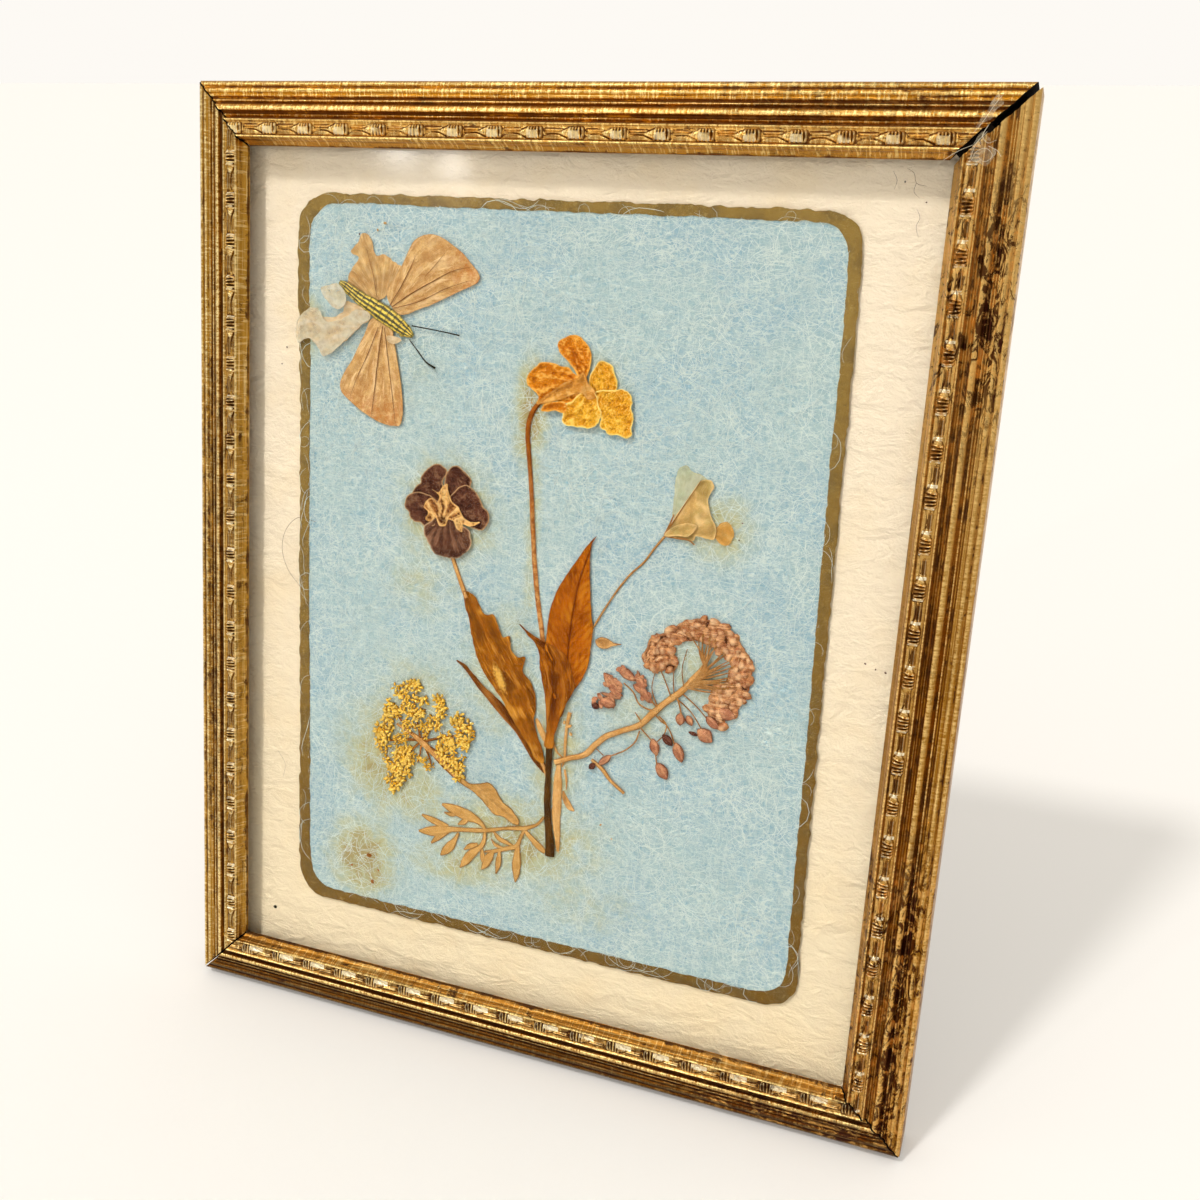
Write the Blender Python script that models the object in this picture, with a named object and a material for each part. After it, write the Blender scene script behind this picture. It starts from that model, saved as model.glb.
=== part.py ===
"""Pressed flower frame: a stamped brass easel frame with its glass, card, panel and dried specimens.

Units are metres and +Z is up.  The frame stands on the rear edge of its bottom rail and on the foot
of its easel strut, and leans back.  Everything in the frame is laid out on the frame's own flat
plane first: x runs right from the left edge, y runs down from the top edge, and depth runs back
from the plane of the outer front edge.  One tilted empty then leans the whole frame back.
"""

import math

import bmesh
import bpy

MM = 0.001

# ---- driving dimensions, in millimetres -------------------------------------------------------
FRAME_WIDTH = 140.0
FRAME_HEIGHT = 170.0
LEAN_DEG = 10.5
RAIL_DEPTH = 8.0              # front edge plane to the back of the rails
RABBET_OFFSET = 6.2           # outer edge to the wall that the glass and boards sit in
SIGHT_OFFSET = 10.65          # outer edge to the sight edge
FIT_GAP = 0.3                 # clearance between pieces that touch
MITRE_GAP = 0.15              # half of the joint line at a tight mitre
OPEN_MITRE_GAP = 0.45         # half of the joint line where the corner has sprung open

GLASS_FRONT = 0.2
GLASS_THICK = 1.0
LAYER_THICK = 0.15            # a pressed petal, wing or leaf
LAYER_FRONT = {"front": 1.40, "middle": 1.75, "back": 2.10}
PANEL_FRONT = 2.45
PANEL_THICK = 0.2
CARD_FRONT = 2.85
CARD_THICK = 1.5
BOARD_FRONT = 4.65
BOARD_THICK = 2.0

HINGE_HEIGHT = 110.0          # hinge axis above the frame's bottom edge
HINGE_DEPTH = 9.3             # hinge axis behind the front edge plane
STRUT_OPEN_DEG = 20.0
STRUT_THICK = 1.2
STRUT_TOP_WIDTH = 16.0
STRUT_FOOT_WIDTH = 44.0
STRUT_NECK = 8.0              # straight length below the hinge, before the strut widens
STRUT_HEEL = 2.9              # how far the strut runs on above its hinge, to bear on the bracket
BARREL_RADIUS = 1.4
BORE_RADIUS = 0.68
PIN_RADIUS = 0.6
EAR_THICK = 1.0
EAR_INNER = 8.6               # hinge centre to the inner face of each ear
BRACKET_HEIGHT = 16.0
BRACKET_THICK = 0.6

# Moulding section: distance in from the outer edge, and height above the front edge plane.
RAIL_SECTION = [
    (0.00, -RAIL_DEPTH), (0.00, -0.50), (0.30, 0.00), (0.80, 0.30), (2.00, 0.55), (2.60, 0.60),
    (2.85, 0.35), (3.15, 0.85), (3.45, 0.55), (3.75, 1.20), (4.70, 1.40), (5.00, 0.95),
    (5.80, 0.90), (6.40, 1.50), (6.60, 2.15), (7.10, 2.15), (8.10, 2.45), (9.05, 2.20),
    (9.40, 2.60), (9.70, 2.10), (9.80, 1.30), (SIGHT_OFFSET, 0.30), (SIGHT_OFFSET, 0.00),
    (RABBET_OFFSET, 0.00), (RABBET_OFFSET, -RAIL_DEPTH),
]

LEAN = math.radians(LEAN_DEG)
STRUT_OPEN = math.radians(STRUT_OPEN_DEG)


# ---- scene, materials and helpers -------------------------------------------------------------
def clear_scene():
    for old in list(bpy.data.objects):
        bpy.data.objects.remove(old, do_unlink=True)


def new_collection(name):
    collection = bpy.data.collections.new(name)
    bpy.context.scene.collection.children.link(collection)
    return collection


def material(name, colour, roughness, metallic=0.0, transmission=0.0):
    made = bpy.data.materials.new(name)
    made.use_nodes = True
    shader = made.node_tree.nodes["Principled BSDF"]
    shader.inputs["Base Color"].default_value = (*colour, 1.0)
    shader.inputs["Roughness"].default_value = roughness
    shader.inputs["Metallic"].default_value = metallic
    shader.inputs["Transmission Weight"].default_value = transmission
    return made


def plane_to_frame(x, y):
    """A place on the frame's face, from its top left corner, as frame x and z in metres."""
    return (x - FRAME_WIDTH / 2) * MM, (FRAME_HEIGHT - y) * MM


def strut_reach():
    """Length from the hinge axis to the floor along the open strut, in millimetres."""
    axis_depth = HINGE_DEPTH - RAIL_DEPTH
    axis_height = HINGE_HEIGHT * math.cos(LEAN) - axis_depth * math.sin(LEAN)
    return axis_height / math.cos(STRUT_OPEN - LEAN)


def lean_origin():
    """Where the tilted empty sits, so the object's box is centred over the world's origin."""
    front = min(u * math.sin(LEAN) - h * math.cos(LEAN) for u, h in RAIL_SECTION if h > -1.0)
    axis_y = HINGE_DEPTH * math.cos(LEAN) + HINGE_HEIGHT * math.sin(LEAN)
    swing = STRUT_OPEN - LEAN
    back = axis_y + strut_reach() * math.sin(swing) + STRUT_THICK / 2 / math.cos(swing)
    return -(front + back) / 2 * MM, RAIL_DEPTH * math.sin(LEAN) * MM


LEAN_ORIGIN_Y, LEAN_ORIGIN_Z = lean_origin()


def link(obj, parts, finish, parent):
    parts.objects.link(obj)
    obj.data.materials.append(finish)
    obj.parent = parent
    return obj


def flat_piece(name, outlines, front, thickness, finish, parts, parent):
    """A flat piece parallel to the frame's face, cut to one outline, or to several for a ring."""
    curve = bpy.data.curves.new(name, "CURVE")
    curve.dimensions = "2D"
    curve.fill_mode = "BOTH"
    curve.extrude = thickness / 2 * MM
    for outline in outlines:
        spline = curve.splines.new("POLY")
        spline.points.add(len(outline) - 1)
        for point, (x, y) in zip(spline.points, outline):
            frame_x, frame_z = plane_to_frame(x, y)
            point.co = (frame_x, frame_z, 0.0, 1.0)
        spline.use_cyclic_u = True
    obj = bpy.data.objects.new(name, curve)
    obj.location = (0.0, (front + thickness / 2) * MM, 0.0)
    obj.rotation_euler = (math.pi / 2, 0.0, 0.0)
    return link(obj, parts, finish, parent)


def strip(points):
    """Outline of a stem: each point is x, y and the width there."""
    left, right = [], []
    last = len(points) - 1
    for i, (x, y, width) in enumerate(points):
        before, after = points[max(i - 1, 0)], points[min(i + 1, last)]
        run_x, run_y = after[0] - before[0], after[1] - before[1]
        run = math.hypot(run_x, run_y)
        side_x, side_y = -run_y / run * width / 2, run_x / run * width / 2
        left.append((x + side_x, y + side_y))
        right.append((x - side_x, y - side_y))
    return left + right[::-1]


def oval(x, y, length, width, turn_deg, steps=10):
    turn = math.radians(turn_deg)
    outline = []
    for i in range(steps):
        angle = 2 * math.pi * i / steps
        along, across = length / 2 * math.cos(angle), width / 2 * math.sin(angle)
        outline.append((x + along * math.cos(turn) - across * math.sin(turn),
                        y + along * math.sin(turn) + across * math.cos(turn)))
    return outline


def rounded_quad(corners, radius, steps=6):
    """Four corners, clockwise on the face, with every corner rounded."""
    outline = []
    for i, corner in enumerate(corners):
        before, after = corners[i - 1], corners[(i + 1) % 4]
        ends = []
        for other in (before, after):
            run = math.hypot(other[0] - corner[0], other[1] - corner[1])
            ends.append((corner[0] + (other[0] - corner[0]) / run * radius,
                         corner[1] + (other[1] - corner[1]) / run * radius))
        for step in range(steps + 1):
            t = step / steps
            outline.append(tuple((1 - t) ** 2 * a + 2 * t * (1 - t) * b + t * t * c
                                 for a, b, c in zip(ends[0], corner, ends[1])))
    return outline


def rectangle(inset):
    return [(inset, inset), (FRAME_WIDTH - inset, inset),
            (FRAME_WIDTH - inset, FRAME_HEIGHT - inset), (inset, FRAME_HEIGHT - inset)]


# ---- the frame --------------------------------------------------------------------------------
def rail(name, length, turn_deg, gaps, finish, parts, parent):
    """One mitred rail: its section is drawn once, run along the rail and slid to the mitres."""
    mesh = bpy.data.meshes.new(name)
    bm = bmesh.new()
    section = [bm.verts.new((0.0, -h * MM, -u * MM)) for u, h in RAIL_SECTION]
    face = bm.faces.new(section)
    run = bmesh.ops.extrude_face_region(bm, geom=[face])
    far_end = {item for item in run["geom"] if isinstance(item, bmesh.types.BMVert)}
    for vert in bm.verts:
        side = 1 if vert in far_end else -1
        gap = gaps[1] if side > 0 else gaps[0]
        vert.co.x = side * (length / 2 * MM + vert.co.z - gap * math.sqrt(2) * MM)
    bmesh.ops.recalc_face_normals(bm, faces=bm.faces)
    bm.to_mesh(mesh)
    bm.free()
    obj = bpy.data.objects.new(name, mesh)
    half_across = FRAME_HEIGHT / 2 if turn_deg % 180 == 0 else FRAME_WIDTH / 2
    turn = math.radians(turn_deg)
    centre_z = FRAME_HEIGHT / 2 * MM
    obj.location = (half_across * MM * math.sin(turn), 0.0,
                    centre_z + half_across * MM * math.cos(turn))
    obj.rotation_euler = (0.0, turn, 0.0)
    return link(obj, parts, finish, parent)


def build_rails(finish, parts, parent):
    tight, sprung = MITRE_GAP, OPEN_MITRE_GAP
    rail("rail_top", FRAME_WIDTH, 0, (tight, sprung), finish, parts, parent)
    rail("rail_right", FRAME_HEIGHT, 90, (sprung, tight), finish, parts, parent)
    rail("rail_bottom", FRAME_WIDTH, 180, (tight, tight), finish, parts, parent)
    rail("rail_left", FRAME_HEIGHT, 270, (tight, tight), finish, parts, parent)


def build_pack(finishes, parts, parent):
    """Glass, blue panel with its gold border, cream card and backing board, from front to back."""
    inset = RABBET_OFFSET + FIT_GAP
    sheet = rectangle(inset)
    panel = [(20.2, 18.7), (115.2, 18.9), (118.6, 148.0), (22.3, 147.5)]
    border_outside = [(19.0, 17.6), (116.2, 17.7), (119.7, 149.1), (21.2, 148.6)]
    border_inside = [(21.3, 19.6), (114.1, 19.8), (117.6, 147.1), (23.3, 146.6)]
    flat_piece("glass_pane", [sheet], GLASS_FRONT, GLASS_THICK, finishes["glass"], parts, parent)
    flat_piece("gold_border", [rounded_quad(border_outside, 7.0), rounded_quad(border_inside, 5.0)],
               LAYER_FRONT["back"], LAYER_THICK, finishes["gold_paper"], parts, parent)
    flat_piece("blue_panel", [rounded_quad(panel, 6.0)], PANEL_FRONT, PANEL_THICK,
               finishes["blue_tissue"], parts, parent)
    flat_piece("mount_card", [sheet], CARD_FRONT, CARD_THICK, finishes["cream_card"], parts, parent)
    flat_piece("backing_board", [sheet], BOARD_FRONT, BOARD_THICK, finishes["board"], parts, parent)


# ---- the easel back ---------------------------------------------------------------------------
def box(name, low, high, collection):
    """A box between two corners, given in millimetres, at the object's own origin."""
    mesh = bpy.data.meshes.new(name)
    bm = bmesh.new()
    bmesh.ops.create_cube(bm, size=1.0)
    for vert in bm.verts:
        for axis in range(3):
            middle, span = (low[axis] + high[axis]) / 2, high[axis] - low[axis]
            vert.co[axis] = (middle + vert.co[axis] * span) * MM
    bm.to_mesh(mesh)
    bm.free()
    obj = bpy.data.objects.new(name, mesh)
    collection.objects.link(obj)
    return obj


def rod(name, radius, half_length, sides, collection):
    """A round bar along x, centred on the object's own origin."""
    mesh = bpy.data.meshes.new(name)
    bm = bmesh.new()
    bmesh.ops.create_cone(bm, cap_ends=True, segments=sides, radius1=radius * MM,
                          radius2=radius * MM, depth=2 * half_length * MM)
    for vert in bm.verts:
        vert.co = (vert.co.z, vert.co.x, vert.co.y)
    bmesh.ops.recalc_face_normals(bm, faces=bm.faces)
    bm.to_mesh(mesh)
    bm.free()
    mesh.shade_smooth()
    mesh.set_sharp_from_angle(angle=math.radians(40))
    obj = bpy.data.objects.new(name, mesh)
    collection.objects.link(obj)
    return obj


def tool(obj, parent):
    """Marks an object as a cutter or an addition that only shapes other pieces."""
    obj.hide_render = True
    obj.display_type = "WIRE"
    obj.parent = parent
    return obj


def boolean(obj, other, operation):
    step = obj.modifiers.new(f"{operation.lower()}_{other.name}", "BOOLEAN")
    step.operation = operation
    step.solver = "EXACT"
    step.object = other


def build_hinge(finishes, parts, cutters, hinge):
    """Bracket with two ears, and the pin through them, about the hinge empty's x axis."""
    plate_back = BOARD_FRONT + BOARD_THICK + FIT_GAP + BRACKET_THICK - HINGE_DEPTH
    plate_front = plate_back - BRACKET_THICK
    half_width = EAR_INNER + EAR_THICK
    half_height = BRACKET_HEIGHT / 2
    ear_reach = BARREL_RADIUS + 0.4
    bracket = box("hinge_bracket", (-half_width, plate_front, -half_height),
                  (half_width, plate_back, half_height), parts)
    bracket.data.materials.append(finishes["brass"])
    bracket.parent = hinge
    bore = tool(rod("bore_cutter", BORE_RADIUS, 2 * half_width, 16, cutters), hinge)
    for side in (-1, 1):
        inner, outer = sorted((side * EAR_INNER, side * half_width))
        ear = box(f"ear_{side}", (inner, plate_front + 0.1, -ear_reach),
                  (outer, ear_reach, ear_reach), cutters)
        boolean(bracket, tool(ear, hinge), "UNION")
    boolean(bracket, bore, "DIFFERENCE")
    pin = rod("hinge_pin", PIN_RADIUS, half_width + 0.6, 16, parts)
    pin.data.materials.append(finishes["steel"])
    pin.parent = hinge
    return bore


def build_strut(finishes, parts, cutters, hinge, bore):
    """The easel leg, open at rest, with its origin on the hinge axis and a foot cut to the floor."""
    reach = strut_reach() + STRUT_THICK
    mesh = bpy.data.meshes.new("easel_strut")
    bm = bmesh.new()
    half_top, half_foot = STRUT_TOP_WIDTH / 2, STRUT_FOOT_WIDTH / 2
    outline = [(-half_top, STRUT_HEEL), (-half_top, -STRUT_NECK), (-half_foot, -reach),
               (half_foot, -reach), (half_top, -STRUT_NECK), (half_top, STRUT_HEEL)]
    verts = [bm.verts.new((x * MM, -STRUT_THICK / 2 * MM, z * MM)) for x, z in outline]
    face = bm.faces.new(verts)
    run = bmesh.ops.extrude_face_region(bm, geom=[face])
    moved = [item for item in run["geom"] if isinstance(item, bmesh.types.BMVert)]
    bmesh.ops.translate(bm, verts=moved, vec=(0.0, STRUT_THICK * MM, 0.0))
    bmesh.ops.recalc_face_normals(bm, faces=bm.faces)
    bm.to_mesh(mesh)
    bm.free()
    strut = bpy.data.objects.new("easel_strut", mesh)
    link(strut, parts, finishes["brass"], hinge)
    strut.rotation_euler = (STRUT_OPEN, 0.0, 0.0)
    barrel = tool(rod("barrel", BARREL_RADIUS, half_top, 20, cutters), strut)
    boolean(strut, barrel, "UNION")
    boolean(strut, bore, "DIFFERENCE")
    floor = tool(box("floor_cutter", (-60, -60, -20), (60, 60, 0), cutters), None)
    boolean(strut, floor, "DIFFERENCE")


# ---- the specimens ----------------------------------------------------------------------------
# Every outline is in millimetres on the frame's face, from its top left corner.
def build_moth(add):
    add("moth_body", "front", "moth_yellow", [
        (27.9, 32.6), (29.3, 32.3), (31.0, 33.0), (33.0, 34.2), (35.0, 34.7), (36.8, 35.4),
        (38.6, 36.5), (40.2, 38.0), (41.6, 39.3), (42.8, 40.6), (40.9, 41.2), (39.4, 40.2),
        (37.0, 39.3), (35.0, 38.4), (33.4, 37.5), (31.8, 35.9), (30.2, 35.1), (28.8, 34.0)])
    add("moth_forewing", "middle", "moth_wing", [
        (37.2, 34.2), (38.4, 31.8), (39.8, 29.6), (40.6, 28.0), (42.4, 24.9), (44.0, 24.1),
        (45.8, 23.9), (47.5, 24.4), (49.5, 25.5), (51.3, 26.7), (53.0, 28.3), (54.4, 29.8),
        (54.7, 30.6), (54.3, 31.3), (50.5, 33.2), (48.0, 34.4), (45.5, 35.6), (43.0, 36.5),
        (41.2, 37.3), (39.6, 37.4), (38.2, 36.2)])
    add("moth_lower_wing", "middle", "moth_wing", [
        (37.9, 38.9), (39.0, 42.5), (39.8, 46.0), (40.5, 49.5), (40.9, 53.0), (40.9, 54.8),
        (40.3, 56.4), (39.4, 56.5), (37.5, 56.4), (35.0, 55.6), (32.0, 54.0), (30.0, 52.6),
        (28.5, 51.2), (28.3, 50.2), (29.0, 48.2), (30.5, 46.0), (31.6, 43.8), (33.0, 41.2),
        (34.4, 38.4), (35.6, 38.0)])
    add("moth_torn_wing", "back", "moth_wing", [
        (36.6, 34.8), (38.4, 31.6), (39.8, 29.4), (38.2, 28.6), (36.5, 27.6), (35.0, 27.8),
        (34.3, 27.0), (34.0, 25.6), (33.0, 24.4), (32.0, 24.3), (31.4, 25.6), (30.0, 27.4),
        (31.5, 28.4), (30.8, 29.6), (29.8, 31.0), (29.4, 32.9), (31.0, 33.6), (33.5, 35.2)])
    add("moth_pale_wing", "middle", "moth_wing", [
        (33.6, 37.0), (31.2, 36.2), (29.4, 35.8), (28.6, 37.6), (26.6, 38.6), (24.0, 38.4),
        (23.0, 37.2), (21.6, 37.8), (20.6, 39.6), (21.8, 42.0), (23.4, 43.6), (25.1, 45.0),
        (27.6, 43.6), (29.6, 42.4), (31.0, 40.9), (32.6, 39.6), (33.9, 38.6)])
    add("moth_antenna_upper", "front", "moth_black",
        strip([(42.3, 39.15, 0.2), (46.8, 39.6, 0.2), (50.8, 40.1, 0.24), (51.4, 40.2, 0.28)]))
    add("moth_antenna_lower", "front", "moth_black",
        strip([(41.9, 41.5, 0.2), (43.5, 43.2, 0.22), (45.6, 45.3, 0.28), (47.0, 45.95, 0.42)]))


def build_viola(add):
    add("viola_top_petal", "back", "viola_orange", [
        (69.3, 40.3), (69.6, 39.8), (70.6, 39.3), (71.4, 38.8), (72.8, 38.8), (74.0, 39.6),
        (75.0, 40.8), (75.4, 42.0), (75.3, 43.3), (75.1, 44.4), (74.4, 45.6), (73.6, 45.6),
        (72.6, 44.3), (71.2, 42.9), (69.7, 41.6)])
    add("viola_left_petal", "middle", "viola_orange", [
        (64.2, 46.4), (64.5, 45.6), (65.5, 44.5), (66.6, 43.6), (67.6, 43.4), (69.0, 43.5),
        (70.2, 43.9), (71.3, 43.9), (72.5, 44.8), (73.9, 45.6), (74.6, 46.4), (75.0, 47.6),
        (73.2, 49.0), (71.0, 50.0), (69.3, 49.5), (67.5, 50.2), (66.3, 50.4), (66.4, 49.0),
        (65.3, 48.1), (64.4, 47.3)])
    add("viola_upper_right_petal", "back", "viola_yellow", [
        (75.5, 44.8), (76.2, 43.4), (76.9, 42.6), (78.0, 42.7), (79.1, 43.2), (79.5, 44.2),
        (80.1, 45.6), (80.1, 46.9), (79.3, 47.7), (77.4, 48.2), (76.0, 47.8), (75.3, 46.4)])
    add("viola_lower_right_petal", "middle", "viola_yellow", [
        (76.6, 47.6), (77.6, 47.2), (79.4, 47.2), (81.0, 46.9), (82.3, 47.2), (82.9, 47.9),
        (82.9, 49.0), (83.2, 50.4), (83.5, 51.6), (83.2, 52.8), (83.2, 54.2), (82.6, 54.6),
        (80.8, 54.2), (79.2, 54.2), (78.7, 53.6), (77.9, 53.2), (77.8, 52.0), (77.2, 50.0)])
    add("viola_bottom_petal", "front", "viola_yellow", [
        (71.2, 50.4), (72.6, 49.4), (74.0, 48.0), (74.6, 47.6), (75.8, 47.3), (77.0, 48.4),
        (77.3, 49.8), (77.9, 51.0), (77.6, 52.2), (77.0, 53.0), (76.2, 53.6), (74.6, 53.5),
        (72.4, 53.5), (71.2, 53.0), (71.0, 51.8)])
    add("viola_stem", "back", "stem_brown", strip([
        (67.2, 49.6, 0.7), (66.1, 50.7, 0.8), (65.3, 52.0, 0.9), (64.8, 53.6, 0.9),
        (64.7, 55.4, 0.9), (64.9, 57.4, 0.85), (65.4, 61.0, 0.8), (66.0, 66.0, 0.8),
        (66.6, 72.0, 0.85), (67.3, 78.0, 0.9), (68.2, 84.0, 0.9), (69.2, 89.0, 0.9),
        (69.7, 91.6, 0.9)]))


def build_pansy(add):
    add("pansy_upper_left_petal", "back", "pansy_purple", [
        (45.0, 65.0), (46.2, 63.3), (47.7, 62.3), (48.4, 62.3), (49.9, 63.2), (49.3, 65.2),
        (49.4, 67.0), (48.4, 69.0), (45.4, 68.6), (43.4, 68.0), (43.8, 66.8), (44.9, 65.8)])
    add("pansy_upper_right_petal", "back", "pansy_purple", [
        (50.2, 63.3), (51.7, 62.2), (53.6, 63.3), (54.7, 64.5), (54.5, 65.9), (53.8, 67.4),
        (52.0, 69.0), (50.2, 69.2), (49.7, 67.0), (49.6, 65.2)])
    add("pansy_left_petal", "middle", "pansy_purple", [
        (42.8, 68.2), (44.6, 67.6), (46.8, 67.9), (48.4, 68.8), (49.8, 70.2), (49.2, 71.8),
        (47.8, 73.2), (46.2, 73.6), (45.3, 73.0), (43.8, 72.8), (43.1, 72.2), (42.8, 71.3),
        (42.0, 70.6), (42.1, 69.3)])
    add("pansy_right_petal", "middle", "pansy_purple", [
        (51.6, 66.8), (52.6, 65.8), (53.8, 65.4), (55.0, 65.8), (56.5, 67.5), (57.2, 68.8),
        (58.1, 69.4), (58.4, 71.2), (57.8, 72.3), (56.8, 73.0), (55.6, 72.8), (53.8, 71.9),
        (51.6, 71.2), (50.3, 70.0), (50.6, 68.2)])
    add("pansy_bottom_petal", "front", "pansy_purple", [
        (46.0, 73.6), (47.4, 72.4), (48.8, 71.0), (50.2, 70.8), (51.8, 71.4), (53.6, 72.6),
        (55.0, 73.4), (55.1, 74.4), (55.4, 75.6), (54.6, 76.9), (53.4, 78.0), (51.8, 78.6),
        (50.0, 78.5), (48.2, 78.0), (47.2, 76.7), (46.4, 75.4), (46.0, 74.8)])
    add("pansy_stem", "back", "stem_brown", strip([
        (51.2, 77.4, 0.8), (51.8, 79.0, 0.8), (52.7, 81.2, 0.8), (53.6, 83.2, 0.9),
        (54.6, 85.4, 0.9)]))


def build_pale_flower(add):
    add("pale_back_petal", "back", "pale_petal", [
        (91.4, 66.8), (91.2, 63.0), (91.3, 60.2), (91.9, 58.4), (93.0, 58.1), (93.7, 58.8),
        (95.4, 59.3), (96.4, 60.0), (95.2, 62.0), (93.8, 64.6), (92.4, 67.0)])
    add("pale_front_petal", "middle", "pale_petal", [
        (90.2, 69.9), (91.0, 68.0), (92.0, 66.0), (93.2, 64.1), (94.6, 61.6), (95.8, 60.1),
        (97.4, 60.2), (97.8, 60.9), (97.3, 62.2), (97.0, 63.2), (97.4, 64.8), (97.9, 66.2),
        (98.7, 67.4), (98.7, 68.8), (98.5, 69.5), (95.4, 69.4), (95.2, 70.0), (92.5, 70.2)])
    add("pale_side_petal", "back", "pale_petal", [
        (98.9, 67.4), (99.4, 66.8), (100.3, 66.4), (101.0, 66.7), (101.4, 67.6), (101.7, 68.4),
        (101.4, 69.3), (100.8, 70.2), (99.9, 70.2), (98.9, 69.6), (98.2, 69.0)])
    add("pale_stem", "back", "straw", strip([
        (91.2, 68.7, 0.45), (90.0, 70.2, 0.42), (88.5, 72.3, 0.36), (86.8, 74.9, 0.34),
        (84.8, 77.0, 0.34), (82.8, 79.8, 0.34), (80.8, 83.2, 0.34), (78.9, 86.8, 0.38),
        (77.9, 88.6, 0.38)]))


def build_umbel(add):
    add("umbel_stalk", "middle", "straw", strip([
        (41.6, 111.0, 0.5), (44.4, 112.2, 0.7), (46.6, 113.4, 1.3), (49.4, 115.4, 1.2),
        (52.0, 117.2, 1.1), (54.2, 118.9, 0.9)]))
    add("umbel_florets_top", "front", "umbel_yellow", [
        (41.2, 104.0), (43.6, 102.8), (45.0, 102.0), (46.2, 101.8), (46.7, 102.8), (46.4, 104.4),
        (47.4, 104.8), (47.9, 106.2), (47.0, 107.4), (46.5, 109.6), (45.2, 110.0), (43.8, 109.0),
        (42.6, 108.0), (44.0, 106.4), (42.4, 106.0)])
    add("umbel_florets_long", "front", "umbel_yellow", [
        (49.6, 104.4), (50.6, 104.4), (51.1, 107.0), (51.4, 108.6), (50.4, 109.6), (49.4, 111.2),
        (48.2, 111.0), (48.0, 109.6), (48.6, 107.6), (49.0, 106.2)])
    add("umbel_florets_left", "front", "umbel_yellow", [
        (39.4, 106.6), (40.8, 107.4), (42.0, 108.6), (41.6, 110.2), (40.6, 111.8), (40.2, 113.6),
        (39.8, 115.2), (38.9, 117.2), (37.4, 115.0), (37.3, 113.4), (38.2, 111.6), (38.7, 109.0)])
    add("umbel_florets_lower_left", "front", "umbel_yellow", [
        (39.6, 117.6), (41.6, 116.2), (43.0, 115.2), (44.6, 115.6), (45.0, 117.2), (44.4, 119.6),
        (44.0, 121.4), (43.0, 122.8), (42.2, 124.2), (40.9, 123.7), (39.6, 121.4), (40.4, 120.0)])
    add("umbel_florets_right", "front", "umbel_yellow", [
        (53.0, 108.2), (54.8, 106.8), (56.0, 108.0), (57.0, 108.6), (57.0, 110.4), (56.6, 112.0),
        (55.8, 113.4), (54.8, 112.6), (53.6, 111.4), (54.3, 109.8)])
    add("umbel_florets_lower_right", "front", "umbel_yellow", [
        (50.2, 113.4), (52.0, 112.0), (53.6, 112.8), (54.6, 114.4), (55.8, 115.6), (55.4, 117.4),
        (54.6, 119.2), (53.4, 118.4), (51.6, 117.0), (50.4, 115.4)])
    add("umbel_bract", "back", "straw", [
        (53.8, 118.4), (55.2, 118.9), (56.6, 119.7), (58.6, 119.5), (60.6, 118.9), (61.8, 119.6),
        (62.8, 120.9), (63.6, 122.0), (65.0, 122.8), (66.0, 123.8), (67.0, 125.0), (66.8, 125.8),
        (65.4, 125.6), (63.6, 124.8), (62.0, 124.8), (61.2, 124.2), (59.6, 122.6), (57.8, 121.4),
        (55.8, 120.4), (54.0, 119.4)])
    add("fern_leaf", "back", "straw", [
        (71.4, 123.4), (71.7, 124.0), (70.2, 125.6), (68.9, 126.5), (70.4, 127.8), (72.2, 129.6),
        (70.8, 129.7), (69.2, 128.5), (68.0, 127.2), (67.5, 129.6), (67.7, 132.6), (67.5, 135.6),
        (66.9, 136.8), (66.1, 134.0), (66.3, 130.8), (64.8, 131.8), (63.8, 133.0), (63.3, 135.9),
        (62.6, 134.6), (60.7, 135.8), (59.7, 135.0), (60.1, 133.0), (58.2, 135.4), (55.6, 136.6),
        (56.4, 134.4), (56.5, 133.0), (58.4, 132.0), (59.2, 130.8), (59.5, 129.0), (56.0, 129.4),
        (55.1, 130.4), (54.6, 132.8), (52.4, 134.8), (51.6, 134.2), (52.2, 132.6), (53.4, 130.6),
        (51.6, 131.6), (49.8, 133.0), (49.2, 132.0), (46.8, 131.4), (48.2, 130.2), (50.4, 129.7),
        (48.6, 128.9), (47.4, 128.2), (49.2, 127.7), (51.6, 128.8), (54.4, 128.8), (57.4, 128.2),
        (55.4, 128.0), (53.4, 127.0), (51.5, 125.8), (52.8, 124.8), (55.4, 124.6), (58.0, 125.3),
        (60.4, 127.9), (63.6, 126.9), (66.9, 126.2), (69.0, 125.6), (70.2, 124.8)])


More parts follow.
